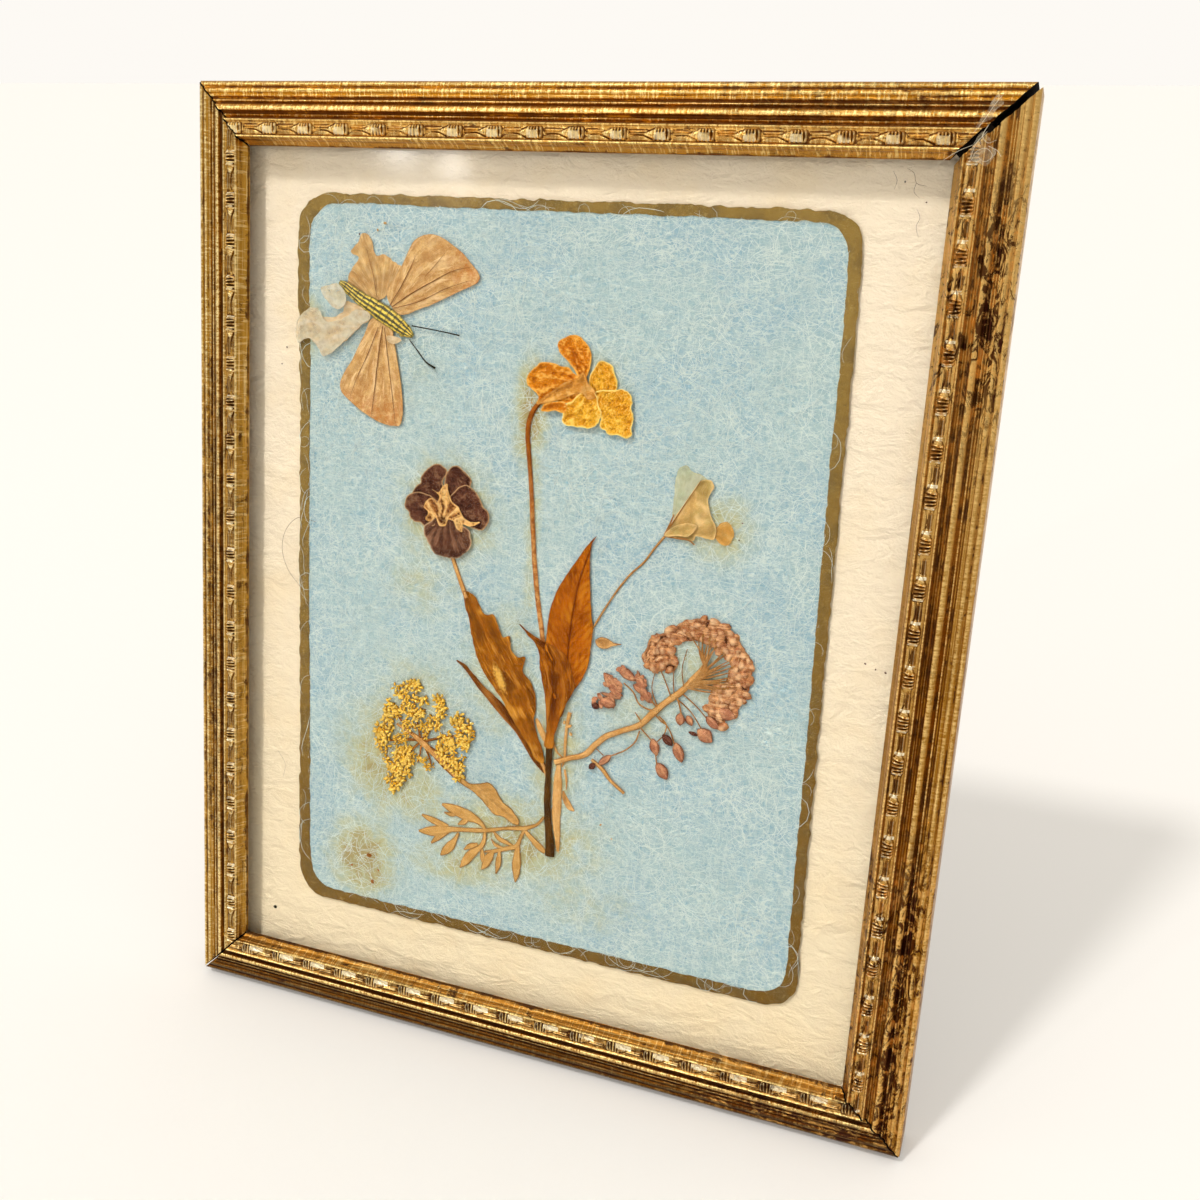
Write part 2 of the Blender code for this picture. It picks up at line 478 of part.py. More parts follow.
def build_raceme(add):
    add("raceme_stalk", "middle", "straw", strip([
        (73.2, 112.6, 1.1), (75.2, 111.6, 1.0), (79.0, 109.9, 1.1), (80.6, 107.9, 1.1),
        (82.2, 106.3, 1.1), (85.2, 104.6, 1.0), (88.4, 102.9, 1.1), (90.2, 100.8, 1.2),
        (92.6, 98.2, 1.1), (95.2, 95.8, 1.2), (97.4, 93.0, 1.2), (99.2, 91.0, 1.6)]))
    add("raceme_twig", "middle", "straw", strip([
        (80.0, 110.8, 0.6), (82.0, 112.1, 0.8), (83.6, 113.8, 0.7), (86.4, 115.8, 0.6)]))
    add("raceme_head", "back", "raceme_pink", [
        (87.8, 91.2), (88.6, 89.2), (89.0, 87.6), (90.6, 86.6), (91.8, 86.0), (93.4, 84.8),
        (94.6, 83.8), (96.2, 83.2), (98.6, 82.9), (100.6, 83.2), (102.4, 84.2), (104.2, 85.6),
        (105.6, 87.4), (106.6, 89.4), (106.6, 92.4), (106.4, 95.0), (105.2, 96.8), (105.0, 98.6),
        (103.2, 99.2), (103.0, 101.0), (101.2, 101.0), (100.0, 98.8), (100.2, 96.0), (101.2, 93.8),
        (103.2, 92.6), (103.6, 91.0), (102.6, 89.2), (100.8, 88.0), (98.4, 87.2), (96.2, 86.8),
        (94.2, 87.8), (93.0, 88.4), (92.8, 89.8), (94.2, 91.6), (93.4, 92.8), (91.6, 92.4),
        (89.4, 93.2), (88.2, 92.0)])
    add("raceme_buds_left", "back", "raceme_pink", [
        (83.8, 93.4), (85.0, 93.2), (86.4, 93.9), (87.6, 93.6), (88.7, 94.9), (88.9, 96.2),
        (89.7, 97.2), (89.8, 98.2), (89.0, 98.8), (88.0, 98.0), (86.8, 97.0), (86.6, 95.4),
        (84.5, 94.9)])
    add("raceme_buds_far_left", "back", "raceme_pink", [
        (81.2, 94.9), (82.8, 95.4), (84.2, 96.2), (84.5, 97.4), (84.0, 98.6), (83.6, 99.6),
        (82.6, 100.8), (81.2, 100.6), (80.2, 101.0), (79.6, 99.8), (81.0, 98.7), (81.4, 97.2)])
    add("raceme_seed", "back", "straw", [
        (79.2, 89.4), (80.2, 88.7), (81.4, 88.8), (82.6, 89.3), (84.0, 89.4), (82.6, 89.9),
        (81.2, 90.6), (79.8, 90.4)])
    add("raceme_bud_middle", "back", "raceme_pink", oval(96.2, 100.6, 3.2, 2.4, 30))
    add("raceme_bud_lowest", "back", "raceme_pink", oval(92.8, 110.5, 3.1, 2.2, 35))


def build_leaves(add):
    add("leaf_centre", "middle", "leaf_brown", [
        (78.4, 71.3), (77.7, 72.6), (77.4, 74.5), (77.5, 77.5), (77.8, 80.5), (78.2, 84.0),
        (78.7, 87.5), (78.5, 91.5), (78.3, 94.0), (77.4, 96.5), (76.0, 98.8), (74.8, 101.0),
        (73.6, 104.4), (72.0, 104.6), (71.4, 101.0), (70.6, 96.0), (70.2, 92.0), (70.3, 89.4),
        (70.6, 85.6), (71.4, 82.6), (73.0, 79.2), (75.0, 76.0), (76.6, 73.4)])
    add("leaf_folded", "front", "leaf_dark", [
        (65.2, 88.6), (66.6, 89.4), (68.4, 90.4), (70.0, 91.0), (71.4, 91.4), (73.6, 92.4),
        (74.8, 94.0), (75.6, 96.2), (76.1, 98.4), (75.0, 101.0), (73.9, 104.0), (73.0, 107.5),
        (72.6, 110.0), (71.4, 110.0), (71.4, 107.0), (71.1, 103.0), (70.3, 99.0), (69.4, 95.5),
        (68.9, 92.6), (68.0, 91.2), (66.6, 90.0)])
    add("leaf_left", "middle", "leaf_brown", [
        (54.1, 84.2), (55.8, 84.4), (57.2, 86.2), (58.6, 87.8), (60.0, 87.6), (61.2, 89.6),
        (62.2, 91.4), (63.2, 91.0), (63.9, 93.4), (65.2, 94.6), (66.4, 94.4), (66.2, 97.2),
        (67.6, 98.4), (68.6, 100.4), (69.0, 102.6), (68.8, 105.6), (69.6, 108.4), (70.6, 110.6),
        (71.0, 113.2), (69.8, 112.8), (68.2, 110.4), (66.0, 107.8), (64.2, 105.2), (62.4, 102.6),
        (60.4, 100.4), (58.4, 98.0), (57.2, 95.6), (56.2, 92.4), (55.4, 89.4), (54.4, 86.4)])
    add("leaf_thin", "back", "leaf_dark", [
        (53.2, 97.0), (54.6, 97.4), (56.4, 98.8), (58.4, 100.6), (61.0, 102.4), (63.6, 104.6),
        (66.0, 106.6), (68.4, 109.0), (70.0, 111.6), (71.6, 114.0), (71.4, 115.0), (69.4, 113.6),
        (67.4, 111.0), (65.4, 108.4), (62.8, 106.2), (60.0, 103.6), (57.2, 101.0), (55.0, 98.6)])
    add("main_stem", "middle", "leaf_dark", strip([
        (72.0, 105.4, 1.2), (72.0, 110.0, 1.3), (72.1, 115.0, 1.1), (72.2, 120.0, 1.3),
        (72.7, 125.0, 1.4), (73.2, 128.0, 1.8), (73.3, 130.4, 1.9)]))
    add("straw_stem", "back", "straw", strip([
        (73.9, 112.6, 0.8), (73.9, 116.5, 1.6), (74.0, 120.0, 1.8), (74.1, 124.0, 1.5),
        (74.5, 127.0, 1.0), (74.7, 129.2, 0.5)]))


SPECIMEN_COLOURS = {
    "moth_yellow": (0.62, 0.47, 0.07), "moth_wing": (0.60, 0.37, 0.18), "moth_black": (0.02, 0.02, 0.02),
    "viola_orange": (0.78, 0.34, 0.03), "viola_yellow": (0.84, 0.47, 0.06),
    "pansy_purple": (0.10, 0.04, 0.03), "pale_petal": (0.70, 0.47, 0.20),
    "umbel_yellow": (0.80, 0.52, 0.08), "raceme_pink": (0.50, 0.26, 0.16), "straw": (0.66, 0.42, 0.19),
    "stem_brown": (0.48, 0.22, 0.06), "leaf_brown": (0.42, 0.18, 0.02), "leaf_dark": (0.20, 0.08, 0.02),
}


def main():
    clear_scene()
    parts = new_collection("pressed_flower_frame")
    cutters = new_collection("cutters")
    finishes = {
        "brass": material("gilt_brass", (0.62, 0.42, 0.14), 0.35, 1.0),
        "steel": material("steel", (0.45, 0.44, 0.42), 0.4, 1.0),
        "glass": material("glass", (1.0, 1.0, 1.0), 0.02, 0.0, 1.0),
        "gold_paper": material("gold_paper", (0.30, 0.22, 0.08), 0.6),
        "blue_tissue": material("blue_tissue", (0.50, 0.66, 0.70), 0.95),
        "cream_card": material("cream_card", (0.86, 0.76, 0.58), 0.9),
        "board": material("backing_board", (0.16, 0.11, 0.07), 0.9),
    }
    for name, colour in SPECIMEN_COLOURS.items():
        finishes[name] = material(name, colour, 0.8)

    lean = bpy.data.objects.new("leaning_frame", None)
    lean.location = (0.0, LEAN_ORIGIN_Y, LEAN_ORIGIN_Z)
    lean.rotation_euler = (-LEAN, 0.0, 0.0)
    parts.objects.link(lean)
    hinge = bpy.data.objects.new("hinge_axis", None)
    hinge.location = (0.0, HINGE_DEPTH * MM, HINGE_HEIGHT * MM)
    hinge.parent = lean
    parts.objects.link(hinge)

    build_rails(finishes["brass"], parts, lean)
    build_pack(finishes, parts, lean)
    bore = build_hinge(finishes, parts, cutters, hinge)
    build_strut(finishes, parts, cutters, hinge, bore)

    def add(name, layer, finish, outline):
        flat_piece(name, [outline], LAYER_FRONT[layer], LAYER_THICK, finishes[finish], parts, lean)

    for build in (build_moth, build_viola, build_pansy, build_pale_flower, build_umbel,
                  build_raceme, build_leaves):
        build(add)


main()
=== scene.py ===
import math

import bmesh
import bpy
import numpy as np
from mathutils import Matrix, Vector
from mathutils.geometry import delaunay_2d_cdt


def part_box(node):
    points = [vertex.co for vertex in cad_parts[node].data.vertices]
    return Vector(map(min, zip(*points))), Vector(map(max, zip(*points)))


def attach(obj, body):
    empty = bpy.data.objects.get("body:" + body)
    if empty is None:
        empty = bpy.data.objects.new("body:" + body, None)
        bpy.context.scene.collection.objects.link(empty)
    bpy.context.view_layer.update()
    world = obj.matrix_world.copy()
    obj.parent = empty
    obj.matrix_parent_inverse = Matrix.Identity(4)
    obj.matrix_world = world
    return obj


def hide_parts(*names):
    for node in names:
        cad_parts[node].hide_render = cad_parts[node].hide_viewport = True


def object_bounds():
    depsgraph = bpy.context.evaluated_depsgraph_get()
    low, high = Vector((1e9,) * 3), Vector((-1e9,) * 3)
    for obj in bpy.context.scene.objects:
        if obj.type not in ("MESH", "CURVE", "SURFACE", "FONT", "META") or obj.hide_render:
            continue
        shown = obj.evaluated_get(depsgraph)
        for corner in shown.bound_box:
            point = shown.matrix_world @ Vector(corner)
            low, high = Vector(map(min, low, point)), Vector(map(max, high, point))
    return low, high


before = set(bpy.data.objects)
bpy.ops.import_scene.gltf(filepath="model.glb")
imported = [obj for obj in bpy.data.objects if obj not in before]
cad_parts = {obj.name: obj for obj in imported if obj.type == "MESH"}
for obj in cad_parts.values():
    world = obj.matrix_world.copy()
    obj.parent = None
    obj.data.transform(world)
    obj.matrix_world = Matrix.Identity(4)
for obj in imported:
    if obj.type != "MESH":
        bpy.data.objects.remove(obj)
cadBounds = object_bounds()

# A place on the leaning face is x to the right, y down and depth back, in millimetres, from the top
# left corner of the plane that the outer front edge lies in.
face = {"height": 170.0, "railDepth": 8.0, "leanDeg": 10.5}
faceWidth = (cadBounds[1][0] - cadBounds[0][0]) * 1000
leanSin, leanCos = math.sin(math.radians(face["leanDeg"])), math.cos(math.radians(face["leanDeg"]))
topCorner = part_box("rail_top")[1][1] * 1000
originY = topCorner - face["railDepth"] * leanCos - face["height"] * leanSin
originZ = face["railDepth"] * leanSin


def toWorld(points):
    x, y, depth = np.asarray(points, float).reshape(-1, 3).T
    height = face["height"] - y
    return np.column_stack([x - faceWidth / 2, depth * leanCos + height * leanSin + originY,
                            height * leanCos - depth * leanSin + originZ]) / 1000


def turnToWorld(right, down, back):
    up = -down
    return Vector((right, back * leanCos + up * leanSin, up * leanCos - back * leanSin))


# Shader helpers
class Wire:
    # One socket of a material's tree; an expression on it adds Math nodes.
    def __init__(self, paint, socket):
        self.paint, self.socket = paint, socket

    def maths(self, operation, first, second):
        return self.paint.node("Math", {"operation": operation}, {0: first, 1: second})

    def __add__(self, other):
        return self.maths("ADD", self, other)

    def __sub__(self, other):
        return self.maths("SUBTRACT", self, other)

    def __rsub__(self, other):
        return self.maths("SUBTRACT", other, self)

    def __mul__(self, other):
        return self.maths("MULTIPLY", self, other)

    def __truediv__(self, other):
        return self.maths("DIVIDE", self, other)

    def __rtruediv__(self, other):
        return self.maths("DIVIDE", other, self)

    def __gt__(self, other):
        return self.maths("GREATER_THAN", self, other)

    __radd__, __rmul__ = __add__, __mul__

    def apply(self, operation, other=0.5):
        return self.maths(operation, self, other)

    def ramp(self, low, high, first=0.0, second=1.0):
        return self.paint.node("MapRange", {"interpolation_type": "SMOOTHSTEP"},
                               {0: self, 1: low, 2: high, 3: first, 4: second})


class Nodes:
    def __init__(self, tree, prefix="ShaderNode"):
        self.tree, self.prefix = tree, prefix

    def node(self, kind, settings=None, sockets=None, output=0):
        made = self.tree.nodes.new(self.prefix + kind)
        for key, value in (settings or {}).items():
            setattr(made, key, value)
        for key, value in (sockets or {}).items():
            self.feed(made.inputs[key], value)
        return Wire(self, made.outputs[output])

    def feed(self, socket, value):
        if isinstance(value, Wire):
            self.tree.links.new(value.socket, socket)
        elif isinstance(value, (tuple, list)) and len(value) == 3 and socket.type == "RGBA":
            socket.default_value = (*value, 1.0)
        else:
            socket.default_value = value

    def mix(self, amount, first, second):
        return self.node("Mix", {"data_type": "RGBA"}, {0: amount, 6: first, 7: second}, 2)


class Paint(Nodes):
    def __init__(self, name):
        self.material = bpy.data.materials.new(name)
        self.material.use_nodes = True
        super().__init__(self.material.node_tree)
        self.shader = self.tree.nodes["Principled BSDF"]

    def attribute(self, name):
        return self.node("Attribute", {"attribute_name": name}, {}, "Vector")

    def parts(self, vector):
        split = self.node("SeparateXYZ", {}, {0: vector}).socket.node
        return [Wire(self, split.outputs[i]) for i in range(3)]

    def vector(self, x, y, z=0.0):
        return self.node("CombineXYZ", {}, {0: x, 1: y, 2: z})

    def stretch(self, vector, scale, turn=0.0, shift=(0.0, 0.0, 0.0)):
        return self.node("Mapping", {}, {"Vector": vector, "Scale": scale, "Location": shift,
                                         "Rotation": (0.0, 0.0, turn)})

    def noise(self, vector, size, detail=3.0, roughness=0.55, distortion=0.0):
        # size is the pattern's grain in the vector's own unit
        return self.node("TexNoise", {"noise_dimensions": "3D"},
                         {"Vector": vector, "Scale": 1.0 / size, "Detail": detail,
                          "Roughness": roughness, "Distortion": distortion})

    def bump(self, height, strength, distance):
        return self.node("Bump", {}, {"Height": height, "Strength": strength, "Distance": distance})

    def finish(self, colour, roughness, metallic=0.0, normal=None, **fixed):
        for key, value in {"Base Color": colour, "Roughness": roughness, "Metallic": metallic}.items():
            self.feed(self.shader.inputs[key], value)
        if normal:
            self.feed(self.shader.inputs["Normal"], normal)
        for key, value in fixed.items():
            self.shader.inputs[key.replace("_", " ")].default_value = value
        return self.material


def tone(*colour, scale=1.0):
    # A colour given as it looks on screen, 0 to 255, as the linear value that a shader wants.
    return tuple((c / 255 / 12.92) if c < 10.3 else ((c / 255 + 0.055) / 1.055) ** 2.4
                 for c in (part * scale for part in colour))


# Mesh helpers
def pairs(*tenths, wide=2):
    # places on the face, x and y in turn, in tenths of a millimetre
    return (np.array(tenths, float) / 10).reshape(-1, wide)


def triples(*tenths):
    # x, y and width in turn
    return pairs(*tenths, wide=3)


def flatTo(points, depth):
    return np.column_stack([points[:, :2], np.full(len(points), depth)])


def gridFaces(columns, rows):
    # quads of a grid whose points run down one column after the other, and its rim
    wide = rows + 1
    faces = [(i * wide + j, (i + 1) * wide + j, (i + 1) * wide + j + 1, i * wide + j + 1)
             for i in range(columns) for j in range(rows)]
    rim = [i * wide for i in range(columns + 1)] + [columns * wide + j for j in range(1, wide)]
    rim += [i * wide + rows for i in range(columns - 1, -1, -1)] + list(range(rows - 1, 0, -1))
    return faces, rim


def lineLength(line):
    return np.concatenate([[0], np.cumsum(np.linalg.norm(np.diff(line, axis=0), axis=1))])


def unitRows(vectors):
    return vectors / (np.linalg.norm(vectors, axis=1, keepdims=True) + 1e-9)


def wobble(x, y, size, seed, octaves=2):
    # Smooth noise from -1 to 1 with the given grain; the same every run.
    total, weight = np.zeros_like(np.asarray(x, float)), 0.0
    for octave in range(octaves):
        gx = np.asarray(x, float) / size * 2 ** octave + seed * 7.31
        gy = np.asarray(y, float) / size * 2 ** octave + seed * 3.77
        ix, iy = np.floor(gx).astype(np.int64), np.floor(gy).astype(np.int64)
        fx, fy = gx - ix, gy - iy
        fx, fy = fx * fx * (3 - 2 * fx), fy * fy * (3 - 2 * fy)

        def corner(dx, dy):
            mixed = (ix + dx) * 73856093 ^ (iy + dy) * 19349663 ^ (seed * 83492791 + octave * 7919)
            mixed = (mixed ^ (mixed >> 13)) * 1274126177
            return ((mixed ^ (mixed >> 16)) & 0xFFFF) / 32767.5 - 1
        low = corner(0, 0) * (1 - fx) + corner(1, 0) * fx
        high = corner(0, 1) * (1 - fx) + corner(1, 1) * fx
        total += (low * (1 - fy) + high * fy) * 0.5 ** octave
        weight += 0.5 ** octave
    return total / weight


def smoothLine(points, step, closed=False):
    # A smooth curve through the points, with a point about every step.
    points = np.asarray(points, float)
    ends = np.roll(points, -1, 0) if closed else points[1:]
    steps = ends - points[:len(ends)]
    lengths = np.linalg.norm(steps[:, :2], axis=1) + 1e-9
    unit = steps / lengths[:, None]
    if closed:
        before, after, unitBefore, unitAfter = np.roll(lengths, 1), lengths, np.roll(unit, 1, 0), unit
    else:
        before, after = np.append(lengths[0], lengths), np.append(lengths, lengths[-1])
        unitBefore, unitAfter = np.vstack([unit[:1], unit]), np.vstack([unit, unit[-1:]])
    slope = (unitBefore * after[:, None] + unitAfter * before[:, None]) / (before + after)[:, None]
    near = 2 * np.minimum(before, after)
    made = []
    for i, length in enumerate(lengths):
        k = (i + 1) % len(points)
        pieces = max(1, int(np.ceil(length / step)))
        t = np.arange(pieces)[:, None] / pieces
        first, second = slope[i] * min(length, near[i]), slope[k] * min(length, near[k])
        made.append((2 * t ** 3 - 3 * t ** 2 + 1) * points[i] + (3 * t ** 2 - 2 * t ** 3) * points[k]
                    + (t ** 3 - 2 * t ** 2 + t) * first + (t ** 3 - t ** 2) * second)
    if not closed:
        made.append(points[-1:])
    return np.vstack(made)


def insideLoop(points, loop):
    x, y = points[:, 0:1], points[:, 1:2]
    ax, ay = loop.T
    bx, by = np.roll(loop, -1, 0).T
    crosses = (ay > y) != (by > y)
    at = (bx - ax) * (y - ay) / np.where(by == ay, 1e-9, by - ay) + ax
    return (crosses & (x < at)).sum(1) % 2 == 1


def nearestOn(points, line, closed):
    # For each point: distance to the line, length along it, and signed distance across.
    starts = line if closed else line[:-1]
    steps = (np.roll(line, -1, 0) - line) if closed else np.diff(line, axis=0)
    lengths = np.linalg.norm(steps, axis=1) + 1e-9
    before = np.concatenate([[0], np.cumsum(lengths)[:-1]])
    away = points[:, None, :] - starts[None]
    t = np.clip((away * steps).sum(2) / lengths ** 2, 0, 1)
    gap = np.linalg.norm(away - t[..., None] * steps, axis=2)
    best = gap.argmin(1)
    rows = np.arange(len(points))
    side = np.sign(steps[best, 0] * away[rows, best, 1] - steps[best, 1] * away[rows, best, 0])
    return gap[rows, best], before[best] + t[rows, best] * lengths[best], side * gap[rows, best]


def newObject(name, data):
    made = bpy.data.objects.new(name, data)
    bpy.context.scene.collection.objects.link(made)
    return made


def newMesh(name, points, faces):
    mesh = bpy.data.meshes.new(name)
    mesh.from_pydata(np.asarray(points).tolist(), [], faces)
    return mesh


def addPiece(name, points, faces, material, attributes=None, smooth=True, replaces=(),
             recalculate=True):
    # points are places on the leaning face; the mesh is built where it stands
    points = np.asarray(points, float)
    mesh = newMesh(name, toWorld(points), faces)
    stored = {"face": points}
    stored.update(attributes or {})
    for key, values in stored.items():
        layer = mesh.attributes.new(key, "FLOAT_VECTOR", "POINT")
        layer.data.foreach_set("vector", np.asarray(values, np.float32).ravel())
    if recalculate:
        bm = bmesh.new()
        bm.from_mesh(mesh)
        bmesh.ops.recalc_face_normals(bm, faces=bm.faces)
        bm.to_mesh(mesh)
        bm.free()
    if smooth:
        mesh.shade_smooth()
        mesh.set_sharp_from_angle(angle=math.radians(50))
    piece = newObject(name, mesh)
    mesh.materials.append(material)
    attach(piece, "frame")
    if replaces:
        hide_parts(*replaces)
    return piece


def joined(parts):
    # Several (points, faces, grow) lists as one.
    points, faces, grow, start = [], [], [], 0
    for somePoints, someFaces, someGrow in parts:
        points.append(somePoints)
        grow.append(someGrow)
        faces += [tuple(i + start for i in f) for f in someFaces]
        start += len(somePoints)
    return np.vstack(points), faces, np.vstack(grow)


def closedSheet(front, back, triangles, border):
    count = len(front)
    faces = [tuple(t) for t in triangles] + [tuple(i + count for i in t[::-1]) for t in triangles]
    faces += [(a, b, b + count, a + count) for a, b in border]
    return np.vstack([front, back]), faces


def meshLoop(loop, spacing):
    # Fills a closed outline with small even triangles.
    low, high = loop.min(0), loop.max(0)
    rows = np.arange(low[1], high[1], spacing * 0.866)
    grid = np.array([(x + (k % 2) * spacing / 2, y) for k, y in enumerate(rows)
                     for x in np.arange(low[0], high[0], spacing)])
    grid = grid[insideLoop(grid, loop)]
    if len(grid):
        grid = grid[nearestOn(grid, loop, True)[0] > spacing * 0.45]
    vectors = [Vector(p) for p in np.vstack([loop, grid])]
    edges = [(i, (i + 1) % len(loop)) for i in range(len(loop))]
    found = delaunay_2d_cdt(vectors, edges, [], 1, 1e-5)
    flat = np.array([tuple(v) for v in found[0]])
    triangles = [tuple(f) for f in found[2]]
    seen = dict.fromkeys(edge for f in triangles for edge in zip(f, f[1:] + f[:1]))
    border = [(a, b) for a, b in seen if (b, a) not in seen]
    return flat, triangles, border


def pressedSheet(outline, spine, depth, relief, spacing, thickness, ragged, seed):
    # A pressed petal, leaf or wing: points, faces, and where each point grows from the spine.
    loop = smoothLine(outline, spacing * 0.8, True)
    if ragged:
        outward = np.roll(loop, -1, 0) - np.roll(loop, 1, 0)
        outward = unitRows(np.column_stack([outward[:, 1], -outward[:, 0]]))
        loop = loop + outward * (wobble(loop[:, 0], loop[:, 1], 0.9, seed, 3) * ragged)[:, None]
    flat, triangles, border = meshLoop(loop, spacing)
    edge = nearestOn(flat, loop, True)[0]
    _, along, across = nearestOn(flat, smoothLine(spine, 0.5), False)
    lift = relief(flat[:, 0], flat[:, 1], along, across, edge, seed)
    front = np.column_stack([flat, depth - lift])
    back = np.column_stack([flat, depth - lift * 0.9 + thickness])
    points, faces = closedSheet(front, back, triangles, border)
    low, high = np.percentile(lift, (4, 96))
    grow = np.column_stack([along, across, edge, np.clip((lift - low) / (high - low + 1e-6), 0, 1)])
    return points, faces, np.vstack([grow, grow])


def tubeAlong(line, widths, flatten, sides, seed):
    # A stem: a smooth line of places with its width at each, slightly flattened by pressing.
    line, widths = np.asarray(line, float), np.asarray(widths, float)
    heading = unitRows(np.gradient(line, axis=0))
    side = unitRows(np.column_stack([-heading[:, 1], heading[:, 0], np.zeros(len(line))]))
    length = lineLength(line)
    points, grow = [], []
    for k in range(sides):
        turn = 2 * math.pi * k / sides
        width = widths / 2 * (1 + 0.12 * wobble(length, length * 0 + k, 1.2, seed + 3))
        points.append(line + side * (math.cos(turn) * width)[:, None]
                      + np.array([0, 0, 1]) * (math.sin(turn) * width * flatten)[:, None])
        across = math.cos(turn) * widths / 2
        grow.append(np.column_stack([length, across, widths / 2 - np.abs(across), widths * 0 + 0.5]))
    count = len(line)
    points, grow = np.vstack(points), np.vstack(grow)
    faces = []
    for k in range(sides):
        a, b = k * count, (k + 1) % sides * count
        faces += [(a + i, a + i + 1, b + i + 1, b + i) for i in range(count - 1)]
    faces.append(tuple(k * count for k in range(sides)))
    faces.append(tuple(k * count + count - 1 for k in range(sides))[::-1])
    return points, faces, grow


def stem(points, depth, flatten, sides=8, seed=0, step=0.5):
    # points are x, y and width
    line = smoothLine(np.asarray(points, float), step)
    return tubeAlong(flatTo(line, depth), line[:, 2],
                     flatten, sides, seed)


layers = {"over": 1.68, "front": 1.90, "middle": 2.08, "back": 2.26, "panel": 2.45}


# Camera, light and stage
view = {"place": (148.1, 35.4, -192.5), "focal": 37.44, "forward": (-0.3239, 0.2216, 0.9198),
        "right": (0.9363, -0.0645, 0.3453)}


def buildCamera():
    cameraData = bpy.data.cameras.new("camera")
    cameraData.sensor_width = 36.0
    cameraData.lens = view["focal"]
    cameraData.clip_start = 0.01
    camera = newObject("camera", cameraData)
    forward, right = turnToWorld(*view["forward"]).normalized(), turnToWorld(*view["right"])
    right = (right - forward * right.dot(forward)).normalized()
    up = right.cross(forward)
    turn = Matrix((right, up, -forward)).transposed().to_4x4()
    camera.matrix_world = Matrix.Translation(Vector(toWorld(view["place"])[0])) @ turn
    bpy.context.scene.camera = camera


lights = {
    "key": {"kind": "SUN", "toward": (-0.278, -0.473, 0.835), "spread": 6, "power": 1.14,
            "colour": (1.0, 0.98, 0.95)},
    "fill": {"kind": "SUN", "toward": (1.0, -0.9, 0.75), "spread": 50, "power": 0.06,
             "colour": (1.0, 0.98, 0.96)},
    "glint": {"kind": "AREA", "toward": (-0.47, -0.845, 0.297), "spread": 0.016, "power": 0.62,
              "colour": (1.0, 0.98, 0.94)},
}
surround = {"camera": (0.985, 0.953, 0.905), "above": (0.79, 0.765, 0.715), "below": (0.50, 0.46, 0.40)}


def buildLights():
    for name, light in lights.items():
        lamp = bpy.data.lights.new(name, light["kind"])
        if light["kind"] == "SUN":
            lamp.angle = math.radians(light["spread"])
        else:
            lamp.shape = "DISK"
            lamp.size = light["spread"]
        lamp.energy = light["power"]
        lamp.color = light["colour"]
        made = newObject(name, lamp)
        toward = Vector(light["toward"])
        made.location = toward + Vector((0, 0, 0.12))
        made.rotation_euler = (-toward).to_track_quat("-Z", "Y").to_euler()
    world = bpy.data.worlds.new("soft surround")
    bpy.context.scene.world = world
    world.use_nodes = True
    sky = Nodes(world.node_tree)
    height = sky.node("SeparateXYZ", {}, {0: sky.node("TexCoord", {}, {}, "Generated")}, 2)
    high = sky.node("MapRange", {}, {0: height, 1: -0.3, 2: 0.9})
    shade = sky.mix(high, surround["below"], surround["above"])
    seen = sky.mix(sky.node("LightPath", {}, {}, "Is Camera Ray"), shade, surround["camera"])
    sky.feed(sky.tree.nodes["Background"].inputs["Color"], seen)


def buildStage():
    half = 40.0
    mesh = newMesh("floor", [(-half, -half, 0), (half, -half, 0), (half, half, 0), (-half, half, 0)],
                   [(0, 1, 2, 3)])
    floor = newObject("floor", mesh)
    paint = Paint("pale floor")
    mesh.materials.append(paint.finish((0.86, 0.84, 0.81), 0.95, Emission_Strength=0.14,
                                       Emission_Color=(1.0, 0.98, 0.95, 1.0)))


# Gilt brass rails
moulding = {
    "width": 10.65, "rabbet": 6.2, "step": 1.1, "profileStep": 0.12, "endGap": 0.15, "sprungGap": 0.5,
    # distance in from the outer edge, and height above the outer edge's plane
    "section": [(0.0, -0.75), (0.06, -0.3), (0.25, -0.05), (0.48, 0.16), (0.68, 0.25), (0.88, 0.14),
        (1.0, 0.06), (1.15, 0.16), (1.4, 0.38), (1.7, 0.5), (1.9, 0.48), (2.05, 0.34), (2.2, 0.28),
        (2.36, 0.34), (2.5, 0.36), (2.64, 0.24), (2.8, 0.04), (2.95, 0.04), (3.12, 0.34), (3.33, 0.58),
        (3.5, 0.4), (3.66, 0.24), (3.8, 0.4), (4.0, 0.8), (4.3, 1.1), (4.6, 1.24), (4.85, 1.26),
        (4.98, 1.1), (5.1, 0.66), (5.25, 0.5), (5.45, 0.58), (5.65, 0.8), (5.82, 0.7), (6.0, 0.56),
        (6.14, 0.66), (6.32, 1.2), (6.5, 2.0), (6.62, 2.12), (6.76, 2.0), (6.88, 1.86), (7.1, 1.82),
        (8.0, 1.86), (9.0, 1.86), (9.12, 2.1), (9.26, 2.46), (9.4, 2.52), (9.52, 2.3), (9.62, 2.0),
        (9.72, 1.9), (9.84, 1.5), (9.95, 1.2), (10.3, 0.75), (10.63, 0.3)],
}
railSides = {
    # the gap at each end, in the order that along runs
    "top": {"gaps": ("endGap", "sprungGap"), "seed": 3},
    "right": {"gaps": ("sprungGap", "endGap"), "seed": 11},
    "bottom": {"gaps": ("endGap", "endGap"), "seed": 23},
    "left": {"gaps": ("endGap", "endGap"), "seed": 31},
}


def railPlace(side, along, inward, rise):
    # along runs clockwise round the face from each rail's first corner
    width, height = faceWidth, face["height"]
    if side == "top":
        return np.column_stack([along, inward, -rise])
    if side == "right":
        return np.column_stack([width - inward, along, -rise])
    if side == "bottom":
        return np.column_stack([width - along, height - inward, -rise])
    return np.column_stack([inward, height - along, -rise])


